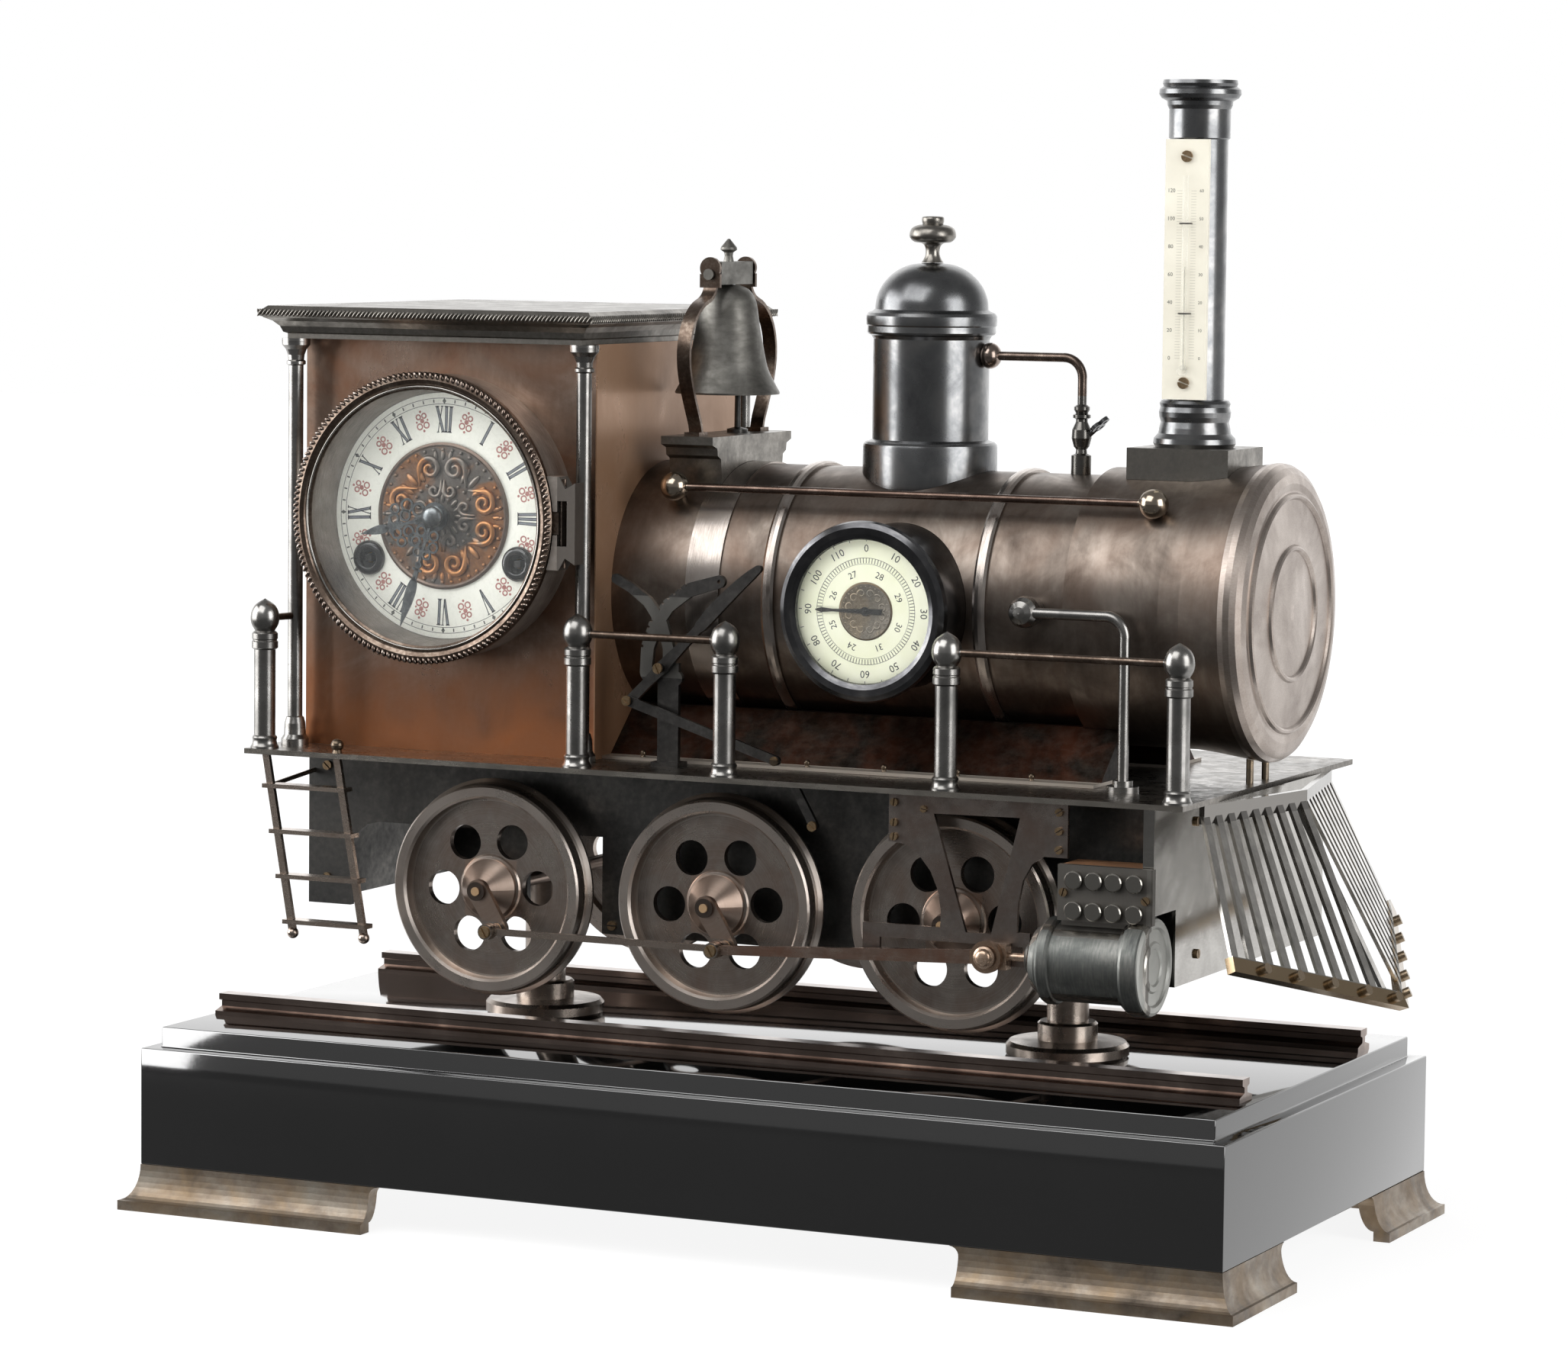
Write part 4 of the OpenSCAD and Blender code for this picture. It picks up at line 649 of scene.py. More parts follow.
def lines(paths, closed=True, thick=0.0, widths=None):
    """Paths in millimetres made a mesh. Closed ones are filled and thick deep, from height 0 up,
    and a path inside another is a hole. With widths they become round bars, widths giving the
    radius at each point."""
    curve = bpy.data.curves.new("line", "CURVE")
    curve.dimensions = "3D" if widths else "2D"
    curve.fill_mode = "FULL" if widths else ("BOTH" if thick else "NONE")
    if widths:
        curve.bevel_depth = MM
        curve.bevel_resolution = 2
        curve.use_fill_caps = True
    curve.extrude = thick * MM / 2
    for path in paths:
        spline = curve.splines.new("POLY")
        spline.points.add(len(path) - 1)
        for i, spot in enumerate(path):
            x, y, z = (*spot, 0.0)[:3]
            spline.points[i].co = (x * MM, y * MM, z * MM, 1.0)
            spline.points[i].radius = widths[i] if widths else 1.0
        spline.use_cyclic_u = closed
    obj = bpy.data.objects.new("line", curve)
    bpy.context.scene.collection.objects.link(obj)
    pick(obj)
    bpy.ops.object.convert(target="MESH")
    obj = bpy.context.active_object
    if thick:
        obj.matrix_world = Matrix.Translation((0, 0, thick * MM / 2))
    return obj


def circle(x, y, r, count=24):
    """The points of a circle."""
    return [(x + r * math.cos(2 * math.pi * i / count), y + r * math.sin(2 * math.pi * i / count))
            for i in range(count)]


def hoop(x, y, r, wall, thick, count=20):
    """A flat ring, wall millimetres wide inwards from the radius r."""
    return lines([circle(x, y, r, count), circle(x, y, r - wall, count)], thick=thick)


def oblong(half_x, half_y):
    """The corners of an upright oblong round the origin."""
    return [(-half_x, -half_y), (half_x, -half_y), (half_x, half_y), (-half_x, half_y)]


def number(value, height):
    """A plain number, its middle at the origin, height in millimetres, facing +Z."""
    thick, digit_share = 0.04, 0.72
    bpy.ops.object.text_add()
    obj = bpy.context.active_object
    obj.data.body = str(value)
    obj.data.size = height * MM / digit_share
    obj.data.align_x = obj.data.align_y = "CENTER"
    obj.data.resolution_u = 2
    obj.data.extrude = thick * MM / 2
    pick(obj)
    bpy.ops.object.convert(target="MESH")
    obj = bpy.context.active_object
    obj.matrix_world = Matrix.Translation((0, 0, thick * MM / 2))
    return obj


def facing(x, y, z, turn=0.0, out=0.0):
    """The place of a shape drawn in X and Y that faces the dial side: turned clockwise about (x, z)
    after it has moved out millimetres along its own Y."""
    return (moved(x, y, z) @ TO_DIAL_SIDE @ Matrix.Rotation(-math.radians(turn), 4, "Z")
            @ Matrix.Translation((0, out * MM, 0)))


def on_dial(turn=0.0, out=0.0, y=DIAL_Y):
    """The same about the middle of the clock's dial, on its face unless y says otherwise."""
    return facing(CLOCK[0], y, CLOCK[1], turn, out)


def settle(*objects):
    """Puts the places of these objects into their meshes."""
    pick(*objects)
    bpy.ops.object.transform_apply(location=True, rotation=True, scale=True)


def spun(line, place, centre, axis, steps):
    """A profile line spun once round an axis, after it has been put in its place."""
    merge_m = 0.00001
    line.matrix_world = place
    settle(line)
    bpy.ops.object.mode_set(mode="EDIT")
    bpy.ops.mesh.select_all(action="SELECT")
    bpy.ops.mesh.spin(steps=steps, angle=2 * math.pi, center=centre, axis=axis)
    bpy.ops.mesh.select_all(action="SELECT")
    bpy.ops.mesh.remove_doubles(threshold=merge_m)
    bpy.ops.mesh.normals_make_consistent(inside=False)
    bpy.ops.object.mode_set(mode="OBJECT")
    return line


def turned(profile, x, z, steps=48):
    """A turned piece about the line along Y through (x, z): the profile gives radius and distance
    towards -Y."""
    line = lines([[(r, -y) for r, y in profile]], closed=False)
    return spun(line, moved(x, 0, z), at(x, 0, z), (0, 1, 0), steps)


def upright(profile, x, steps=96):
    """A turned piece about the upright line through (x, 0): the profile gives radius and height."""
    return spun(lines([profile], closed=False), moved(x, 0, 0) @ TO_DIAL_SIDE, at(x, 0, 0),
                (0, 0, 1), steps)


def soften_edges(obj, width, segments):
    """Takes the sharp edges off, width millimetres deep."""
    pick(obj)
    edge = obj.modifiers.new("edge", "BEVEL")
    edge.width = width * MM
    edge.segments = segments
    edge.limit_method = "ANGLE"
    edge.angle_limit = math.radians(60)
    bpy.ops.object.modifier_apply(modifier="edge")


def smooth(points, steps=5):
    """More points along a smooth line through these points."""
    last = len(points) - 1
    fine = []
    for i in range(last):
        before, here, there, after = (Vector(points[max(0, min(last, j))])
                                      for j in (i - 1, i, i + 1, i + 2))
        bend = 2 * before - 5 * here + 4 * there - after
        twist = 3 * here - 3 * there + after - before
        for k in range(steps):
            t = k / steps
            spot = 0.5 * (2 * here + (there - before) * t + bend * t ** 2 + twist * t ** 3)
            fine.append(tuple(spot))
    return fine + [tuple(points[-1])]


def strip(spine, halves):
    """The outline of a flat bar along a line: halves gives half its width at each point; its ends
    are round."""
    count = len(spine) - 1
    sides = [[], []]
    for i, (x, y) in enumerate(spine):
        x0, y0 = spine[max(i - 1, 0)]
        x1, y1 = spine[min(i + 1, count)]
        run = math.hypot(x1 - x0, y1 - y0)
        for side, out in zip(sides, (halves[i], -halves[i])):
            side.append((x - (y1 - y0) / run * out, y + (x1 - x0) / run * out))
    caps = []
    ends = ((spine[-1], sides[0][-1], halves[-1]), (spine[0], sides[1][0], halves[0]))
    for (x, y), (x1, y1), half in ends:
        start = math.atan2(y1 - y, x1 - x)
        angles = [start - math.pi * k / 8 for k in range(1, 8)]
        caps.append([(x + half * math.cos(a), y + half * math.sin(a)) for a in angles])
    return sides[0] + caps[0] + sides[1][::-1] + caps[1]


def slotted_head(x, y, z, r, turn):
    """A round screw head with a slot, on a face at y that looks towards -Y: a disc that carries
    two rounded halves."""
    disc, lift, thick, inner = 0.35, 0.3, 0.55, 0.94
    base = turned([(0, -y), (r, -y), (r, -y + disc), (0, -y + disc)], x, z, 24)
    angles = [math.radians(degrees) for degrees in range(10, 171, 20)]
    half = [(r * inner * math.cos(a), r * inner * math.sin(a)) for a in angles]
    places = [facing(x, y - lift, z, turn), facing(x, y - lift, z, turn + 180)]
    return join([base, copies(lines([half], thick=thick), places)])


def bead(sides, rings, size):
    """A small bead: a ball drawn out to size (half lengths in millimetres) along X, Y and Z."""
    bpy.ops.mesh.primitive_uv_sphere_add(segments=sides, ring_count=rings, radius=MM)
    obj = bpy.context.active_object
    pick(obj)
    bpy.ops.object.mode_set(mode="EDIT")
    bpy.ops.mesh.select_all(action="SELECT")
    bpy.ops.transform.resize(value=size)
    bpy.ops.object.mode_set(mode="OBJECT")
    return obj


def finish_piece(obj, name, body, material, angle, stands_for=()):
    """Puts the piece's place into its mesh, names it, gives it its finish and ties it to its body.
    Edges below angle are shaded smooth; stands_for lists the CAD nodes that the piece replaces."""
    settle(obj)
    if angle:
        bpy.ops.object.shade_smooth_by_angle(angle=math.radians(angle))
    obj.name = obj.data.name = name
    obj.data.materials.clear()
    obj.data.materials.append(material)
    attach(obj, body)
    if stands_for:
        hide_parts(*stands_for)


# The clock's face

# Each letter of the numerals: its width, its outline, and the grey filling of its thick stroke
LETTERS = {
    "I": (2.1,
          [(-1.02, 5.5), (1.02, 5.5), (1.02, 5.2), (0.66, 5.05), (0.66, -5.05), (1.02, -5.2),
           (1.02, -5.5), (-1.02, -5.5), (-1.02, -5.2), (-0.66, -5.05), (-0.66, 5.05), (-1.02, 5.2)],
          [(-0.36, 4.8), (0.36, 4.8), (0.36, -4.8), (-0.36, -4.8)]),
    "V": (4.1,
          [(-2.0, 5.5), (-0.1, 5.5), (-0.1, 5.2), (-0.4, 5.1), (0.45, -2.2), (1.15, 5.1),
           (0.75, 5.2), (0.75, 5.5), (2.0, 5.5), (2.0, 5.2), (1.55, 5.1), (0.5, -5.5),
           (-0.3, -5.5), (-1.75, 5.1), (-2.0, 5.2)],
          [(-1.42, 4.85), (-0.72, 4.85), (0.25, -3.7), (0.0, -4.7)]),
    "X": (4.2,
          [(-2.1, 5.5), (-0.2, 5.5), (-0.2, 5.2), (-0.52, 5.1), (0.23, 1.81), (0.9, 5.1),
           (0.55, 5.2), (0.55, 5.5), (1.8, 5.5), (1.8, 5.2), (1.34, 5.1), (0.42, 1.0),
           (1.8, -5.1), (2.1, -5.2), (2.1, -5.5), (0.2, -5.5), (0.2, -5.2), (0.52, -5.1),
           (-0.23, -1.81), (-0.9, -5.1), (-0.55, -5.2), (-0.55, -5.5), (-1.8, -5.5), (-1.8, -5.2),
           (-1.34, -5.1), (-0.42, -1.0), (-1.8, 5.1), (-2.1, 5.2)],
          [(-1.45, 4.8), (-0.78, 4.8), (1.45, -4.8), (0.78, -4.8)]),
}
HOURS = {1: "I", 2: "II", 3: "III", 5: "V", 6: "VI", 7: "VII", 9: "IX", 10: "X", 11: "XI",
         12: "XII"}
NUMERAL_R = 39.9
TIGHT = 0.92


def make_numerals():
    """Roman numerals round the dial, feet to the middle; the winding eyelets cover those at four
    and eight."""
    places = {letter: [] for letter in LETTERS}
    for hour, word in HOURS.items():
        across = -sum(LETTERS[c][0] for c in word) / 2
        for c in word:
            middle = (across + LETTERS[c][0] / 2) * TIGHT
            across += LETTERS[c][0]
            turn = 30 * hour + math.degrees(middle / NUMERAL_R)
            places[c].append(on_dial(turn, NUMERAL_R))
    for part, thick, name, ink in ((1, 0.04, "dial_numerals", numeral_ink),
                                   (2, 0.06, "numeral_fills", numeral_grey)):
        letters = [copies(lines([LETTERS[c][part]], thick=thick), places[c]) for c in LETTERS]
        finish_piece(join(letters), name, "engine", ink, 0)


def make_minute_track():
    """Two thin circles with a short mark for each minute and a broad one for each hour."""
    outer, inner, line, marks_r = 48.7, 46.3, 0.24, 47.42
    rings = [copies(hoop(0, 0, r, line, 0.04, 120), [on_dial()]) for r in (outer, inner)]
    minutes = [on_dial(6 * i, marks_r) for i in range(60) if i % 5]
    short = copies(lines([oblong(0.28, 0.7)], thick=0.04), minutes)
    hours = [on_dial(30 * i, marks_r) for i in range(12)]
    broad = copies(lines([[(0, -1.3), (0.85, 0), (0, 1.3), (-0.85, 0)]], thick=0.05), hours)
    finish_piece(join(rings + [short, broad]), "minute_track", "engine",
                 scale_grey, 0)


def make_knots():
    """A plain looped knot printed between the numerals: five rings and five dots."""
    wall, knots_r = 0.62, 40.2
    rings = [(-1.6, -2.1, 1.5), (1.6, -2.1, 1.5), (-1.35, 1.9, 1.3), (1.35, 1.9, 1.3), (0, 0, 1.0)]
    dots = [(0, -4.2, 0.55), (0, 3.9, 0.55), (-2.6, -0.1, 0.45), (2.6, -0.1, 0.45), (0, 0, 0.5)]
    shapes = [hoop(x, y, r, wall, 0.04) for x, y, r in rings]
    shapes += [lines([circle(x, y, r, 12)], thick=0.05) for x, y, r in dots]
    knots = copies(join(shapes), [on_dial(15 + 30 * i, knots_r) for i in range(12)])
    finish_piece(knots, "dial_knots", "engine", knot_red, 0)


def scroll(x, y, size, turns, start, sense, lift, fat, tail):
    """The path of a scroll that winds inwards, and its radii; a tail leads into it along the
    tangent."""
    count = int(18 * turns)
    path, radii = [], []
    for i in range(count + 1):
        t = i / count
        angle = math.radians(start + sense * 360 * turns * t)
        r = size * (1 - 0.82 * t)
        path.append((x + r * math.cos(angle), y + r * math.sin(angle), lift * (0.6 + 0.4 * t)))
        radii.append(fat * (1 - 0.45 * t))
    if tail:
        first = math.radians(start - sense * 90)
        for k in (1, 2, 3):
            lead_x = path[0][0] + tail / 3 * math.cos(first)
            lead_y = path[0][1] + tail / 3 * math.sin(first)
            path.insert(0, (lead_x, lead_y, lift * 0.6 * (1 - k / 4)))
            radii.insert(0, fat * (1 - k / 4))
    return path, radii


def make_dial_relief():
    """Embossed work on the dial's brass centre: four pairs of scrolls with leaves between, in a
    ring of beads."""
    quarters = [90 * k for k in range(4)]
    shapes = []
    for quarter in quarters:
        for sense in (1, -1):
            large = (5.8 * sense, 19.4, 5.0, 1.4, 90 - 90 * sense, 1.35, 7.5)
            small = (3.7 * sense, 10.4, 3.0, 1.1, 90 + 90 * sense, 1.05, 4.5)
            for x, y, size, turns, start, fat, tail in (large, small):
                path, radii = scroll(x, y, size, turns, start, sense, 0.9, fat, tail)
                piece = lines([path], closed=False, widths=radii)
                piece.matrix_world = on_dial(quarter, y=RELIEF_Y)
                shapes.append(piece)
    leaves = [on_dial(45 + quarter + side, 20.5 - abs(side) * 0.06, RELIEF_Y)
              for quarter in quarters for side in (-13, 0, 13)]
    buds = [on_dial(22.5 * k, 7.6, RELIEF_Y) for k in range(16)]
    buds += [on_dial(quarter + side, 25.2, RELIEF_Y) for quarter in quarters for side in (-8, 0, 8)]
    beads = [on_dial(9 * k, 27.4, RELIEF_Y - 0.1) for k in range(40)]
    beads += [on_dial(45 + quarter + side, 14.2, RELIEF_Y - 0.3)
              for quarter in quarters for side in (-14, 0, 14)]
    shapes.append(copies(bead(10, 6, (1.4, 3.9, 1.1)), leaves))
    shapes.append(copies(bead(10, 6, (1.0, 2.2, 0.9)), buds))
    shapes.append(copies(bead(8, 5, (0.85, 0.85, 0.8)), beads))
    finish_piece(join(shapes), "dial_relief", "engine", dial_relief, 60)


def make_eyelets():
    """The black rims round the two winding holes."""
    rim = [(3.9, 72.0), (4.5, 72.5), (5.5, 72.5), (6.5, 72.0), (7.1, 71.2), (7.3, 70.0)]
    profile = [(2.2, 68.4), (3.7, 68.4), (3.7, 71.3)] + smooth(rim, 3)
    finish_piece(join([turned(profile, *spot) for spot in WINDING]), "winding_eyelets", "engine",
                 eyelet_black, 50)


def openwork(rings, bars, thick):
    """Pierced work drawn upwards: rings (x, y, radius, wall), each on both sides where x isn't 0,
    and bars."""
    shapes = []
    for x, y, r, wall in rings:
        for side in ((1, -1) if x else (1,)):
            shapes.append(hoop(side * x, y, r, wall, thick))
    shapes += [lines([bar], thick=thick * 0.96) for bar in bars]
    return shapes


def leaf(y0, y1, half, belly):
    """The outline of a pointed leaf between two heights, broadest at belly of the way up."""
    right = []
    for i in range(1, 10):
        t = i / 10
        swell = math.sin(math.pi * t ** (math.log(0.5) / math.log(belly)))
        right.append((half * swell, y0 + (y1 - y0) * t))
    return [(0, y0)] + right + [(0, y1)] + [(-x, y) for x, y in reversed(right)]


def make_hands():
    """Pierced scroll hands: a broad one for the hours, a longer one with a solid leaf for the
    minutes. Each sits on a turned boss at the dial's middle."""
    hour_y, minute_y, thick = -77.2, -79.2, 0.8
    rings = [(0, 0, 6.0, 1.9), (4.3, 6.8, 3.1, 1.0), (7.2, 11.6, 3.0, 0.95), (3.4, 13.4, 2.6, 0.9),
             (7.0, 17.6, 2.3, 0.85), (3.0, 19.0, 2.5, 0.9), (0, 8.6, 1.5, 0.6), (0, 16.4, 1.5, 0.6)]
    bars = [[(-0.7, 4.5), (0.7, 4.5), (0.6, 24), (-0.6, 24)], leaf(22, 36, 1.9, 0.3),
            leaf(3, 9.5, 1.2, 0.4),
            [(-5.2, 20.8), (-1, 22.5), (0, 21.4), (1, 22.5), (5.2, 20.8), (0, 19.8)]]
    tube = [(1.9, 66.0), (2.6, 66.0), (2.6, 78.0), (4.4, 78.0), (4.4, 78.5), (3.9, 78.8),
            (1.9, 78.8)]
    work = openwork(rings, bars, thick)
    hour = [copies(piece, [on_dial(HOUR_ANGLE, y=hour_y)]) for piece in work]
    finish_piece(join([turned(tube, *CLOCK)] + hour), "hour_hand_pierced", "hour_hand",
                 blued_steel, 40, ["hour_hand"])
    rings = [(0, 0, 4.0, 1.2), (3.1, 7.2, 2.4, 0.8), (4.2, 12.0, 2.4, 0.8), (2.2, 16.0, 2.1, 0.75),
             (0, 9.6, 1.3, 0.5), (0, 21.0, 1.5, 0.7)]
    bars = [[(-0.6, 3.4), (0.6, 3.4), (0.55, 21), (-0.55, 21)],
            [(-0.8, 20), (0.8, 20), (1.0, 28), (-1.0, 28)], leaf(26, 48, 2.3, 0.34),
            [(-2.2, 22.6), (2.2, 22.6), (2.2, 23.6), (-2.2, 23.6)]]
    boss = [(0.0, 58.2), (1.7, 58.2), (1.7, 80.0), (4.5, 80.0), (4.5, 80.5), (4.1, 81.2),
            (2.9, 81.9), (1.2, 82.25), (0.0, 82.3)]
    work = openwork(rings, bars, thick)
    minute = [copies(piece, [on_dial(MINUTE_ANGLE, y=minute_y)]) for piece in work]
    finish_piece(join([turned(boss, *CLOCK)] + minute), "minute_hand_pierced", "minute_hand",
                 blued_steel, 40, ["minute_hand"])


def make_rope_ring():
    """The rope of slanted beads round the bezel door."""
    count, rope_r, rope_y = 150, 58.6, -89.9
    strand = copies(bead(8, 6, (0.86, 1.75, 1.05)), [Matrix.Rotation(math.radians(32), 4, "Z")])
    ring = copies(strand, [on_dial(360 / count * i, rope_r, rope_y) for i in range(count)])
    finish_piece(ring, "bezel_rope", "bezel_door", rope_bronze, 60)


def make_glass_ring():
    """The thin bright ring that holds the glass in the bezel door."""
    profile = [(53.5, 88.65), (54.35, 88.65), (54.3, 89.0), (54.05, 89.2), (53.75, 89.2),
               (53.55, 89.0), (53.5, 88.65)]
    finish_piece(turned(profile, *CLOCK, 160), "glass_ring", "bezel_door",
                 pale_steel, 50)


def make_cornice_rope():
    """The row of slanted gadroons under the cornice slab, on its four sides."""
    middle, z, half_x, half_y = -126.6, 373.6, 77.6, 87.7
    pitch, end_gap, proud = 1.85, 1, 0.05
    strand = copies(bead(8, 5, (0.62, 2.15, 0.75)), [Matrix.Rotation(math.radians(-40), 4, "Z")])
    places = []
    for turn in (0, 180, 90, 270):
        half, reach = (half_y, half_x) if turn in (90, 270) else (half_x, half_y)
        row = 2 * (half - end_gap)
        count = int(row / pitch)
        side = moved(middle, 0, z) @ Matrix.Rotation(math.radians(turn), 4, "Z")
        for i in range(count + 1):
            along = row * i / count - half + end_gap
            places.append(side @ Matrix.Translation((along * MM, -(reach + proud) * MM, 0))
                          @ TO_DIAL_SIDE)
    finish_piece(copies(strand, places), "cornice_rope", "engine", cornice_bronze, 60)


def make_barometer_face():
    """Scale, numbers and embossed centre of the barometer."""
    x, z = BAROMETER
    thick = 0.03
    prints = [copies(hoop(0, 0, r, line, thick, 96), [facing(x, BAROMETER_Y, z)])
              for r, line in ((21.4, 0.2), (19.0, 0.15))]
    for half_height, count, r in ((1.0, 100, 20.2), (0.7, 24, 28.6)):
        marks = [facing(x, BAROMETER_Y, z, 360 / count * i, r) for i in range(count)]
        prints.append(copies(lines([oblong(0.16, half_height)], thick=thick), marks))
    finish_piece(join(prints), "barometer_scale", "engine", scale_grey, 0)

    # Rows of numbers: the first, the step, how many, their angles in degrees, height and radius
    figures = []
    inner = (24, 1, 8, -157.5, 45, 2.7, 15.2)
    outer = (0, 10, 12, 0, 30, 3.1, 25.0)
    for first, step, count, start, spread, height, r in (inner, outer):
        for i in range(count):
            place = facing(x, BAROMETER_Y, z, start + spread * i, r)
            figures.append(copies(number(first + step * i, height), [place]))
    finish_piece(join(figures), "barometer_figures", "engine", numeral_ink, 0)

    plate = [(0.9, 75.4), (0.9, 75.75), (10.6, 75.75), (11.0, 75.85), (11.5, 75.7), (11.7, 75.4)]
    centre = [turned(plate, x, z)]
    for k in range(6):
        for sense in (1, -1):
            path, radii = scroll(1.9 * sense, 7.0, 1.7, 1.3, 90 - 90 * sense, sense, 0.0, 0.46, 1.6)
            piece = lines([path], closed=False, widths=radii)
            piece.matrix_world = facing(x, -75.48, z, 60 * k)
            centre.append(piece)
    beads = [facing(x, -75.7, z, 12 * k, 9.9) for k in range(30)]
    centre.append(copies(bead(8, 5, (0.34, 0.34, 0.25)), beads))
    finish_piece(join(centre), "barometer_centre", "engine", barometer_relief, 50)


def make_thermometer_face():
    """Scale marks and numbers on the thermometer's plate, the thread in its tube and two wire
    clips."""
    x, y = THERMOMETER_XY
    low, high, steps, tens = 361.6, 428.0, 60, 6
    marks = copies(lines([oblong(1.1, 0.08)], thick=0.03),
                   [facing(x + side * 3.0, y, low + (high - low) * i / steps) for side in (-1, 1)
                    for i in range(steps + 1)])
    finish_piece(marks, "thermometer_marks", "engine", scale_faint, 0)
    figures = []
    for i in range(tens + 1):
        z = low + (high - low) * i / tens
        figures.append(copies(number(20 * i, 1.6), [facing(x - 6.5, y, z)]))
        figures.append(copies(number(10 * i, 1.3), [facing(x + 6.3, y, z)]))
    finish_piece(join(figures), "thermometer_figures", "engine", scale_grey, 0)
    thread = lines([[(0, 357.0), (0, 357.8), (0, 359.4), (0, 398.0)]], closed=False,
                   widths=[1.3, 1.1, 0.28, 0.28])
    thread.matrix_world = moved(x, y - 1.2, 0) @ TO_DIAL_SIDE
    finish_piece(thread, "thermometer_thread", "engine", scale_faint, 50)
    wire = [(-2.3, 0, 0.0), (-2.2, 0, 1.6), (-1.2, 0, 2.6), (1.2, 0, 2.6), (2.2, 0, 1.6),
            (2.3, 0, 0.0)]
    clip = lines([wire], closed=False, widths=[0.3] * len(wire))
    finish_piece(copies(clip, [facing(x, y, z) for z in (415.1, 379.4)]), "thermometer_clips",
                 "engine", black_iron, 50)


def make_plinth():
    """The stone: a block with a step slab on it, its edges taken off so that they catch the
    light."""
    length, depth, low, high, step, inset = 480.0, 242.0, 18.7, 67.6, 8.5, 6.3
    bpy.ops.mesh.primitive_cube_add(size=1.0, location=at(0, 0, (low + high) / 2),
                                    scale=(length * MM, depth * MM, (high - low) * MM))
    stone = bpy.context.active_object
    settle(stone)
    for face in stone.data.polygons:
        face.select = face.normal.z > 0.5
    for edge in stone.data.edges:
        edge.select = False
    for corner in stone.data.vertices:
        corner.select = False
    bpy.ops.object.mode_set(mode="EDIT")
    bpy.ops.mesh.select_mode(type="FACE")
    bpy.ops.mesh.inset(thickness=inset * MM)
    bpy.ops.mesh.extrude_region_move(TRANSFORM_OT_translate={"value": (0, 0, step * MM)})
    bpy.ops.mesh.select_all(action="SELECT")
    bpy.ops.mesh.normals_make_consistent(inside=False)
    bpy.ops.object.mode_set(mode="OBJECT")
    soften_edges(stone, 0.55, 3)
    finish_piece(stone, "plinth_stone", "engine", black_marble, 30, ["plinth"])


def make_lever():
    """The reversing lever: a flat bar with a broader leaf-shaped grip, and the slotted screws of
    the lever gear."""
    face_y, stand_y, rod_y = -71.9, -77.42, -77.22
    spine = [LEVER_LOW, (-30.2, 226.3), LEVER_PIVOT, (-15.0, 241.4), (-6.8, 249.8), (-6.0, 250.6),
             (-1.0, 256.2), (5.0, 262.2), (11.5, 268.3), (16.6, 272.6), (19.6, 275.0)]
    halves = [2.1, 2.0, 2.6, 2.0, 1.8, 2.4, 2.8, 2.7, 2.4, 2.0, 1.5]
    bar = lines([strip(spine, halves), circle(*LEVER_PIVOT, 1.6, 32), circle(*LEVER_LOW, 1.05, 24)],
                thick=2.3)
    bar.matrix_world = moved(0, face_y, 0) @ TO_DIAL_SIDE @ bar.matrix_world
    soften_edges(bar, 0.35, 2)
    finish_piece(bar, "reversing_lever_shaped", "reversing_lever", lever_iron, 35,
                 ["reversing_lever"])
    stand_screws = ((LEVER_PIVOT, -77.02, 2.2, 65), (LINK_END, stand_y, 2.1, 30))
    rod_screws = ((LEVER_LOW, rod_y, 2.1, 40), (ROD_END, stand_y, 1.9, 15))
    for name, body, screws in (("lever_stand_screws", "engine", stand_screws),
                               ("reach_rod_screws", "reach_rod", rod_screws)):
        heads = [slotted_head(x, y, z, r, turn) for (x, z), y, r, turn in screws]
        finish_piece(join(heads), name, body, screw_brass, 35)


def make_pin_screws():
    """The slotted screws on the ends of the two crank pins."""
    for name, body, axle, y in (("rear_pin_screw", "rear_wheels", "wheelset_rear", -99.35),
                                ("middle_pin_screw", "middle_wheels", "wheelset_middle", -102.75)):
        head = slotted_head(AXLES[axle] + CRANK_PIN[0], y, AXLE_Z + CRANK_PIN[1], 2.5, 60)
        finish_piece(head, name, body, screw_brass, 35)


def make_rod_cap():
    """The domed cap on the connecting rod's big eye."""
    crown = [(3.4, 102.6), (2.9, 103.6), (1.7, 104.2), (0, 104.4)]
    profile = [(0, 101.4), (4.4, 101.4), (4.4, 102.0), (3.6, 102.3)] + smooth(crown, 3)
    finish_piece(turned(profile, *ROD_EYE), "rod_eye_cap", "connecting_rod",
                 crosshead_bronze, 35)


def make_pipe_knob():
    """The round knob that joins the steam pipe to the dome."""
    knob = bead(32, 20, (4.6, 5.3, 5.3))
    knob.matrix_world = moved(DOME_X + 26.2, 0, PIPE_Z)
    finish_piece(knob, "pipe_knob", "engine", knob_bronze, 60)


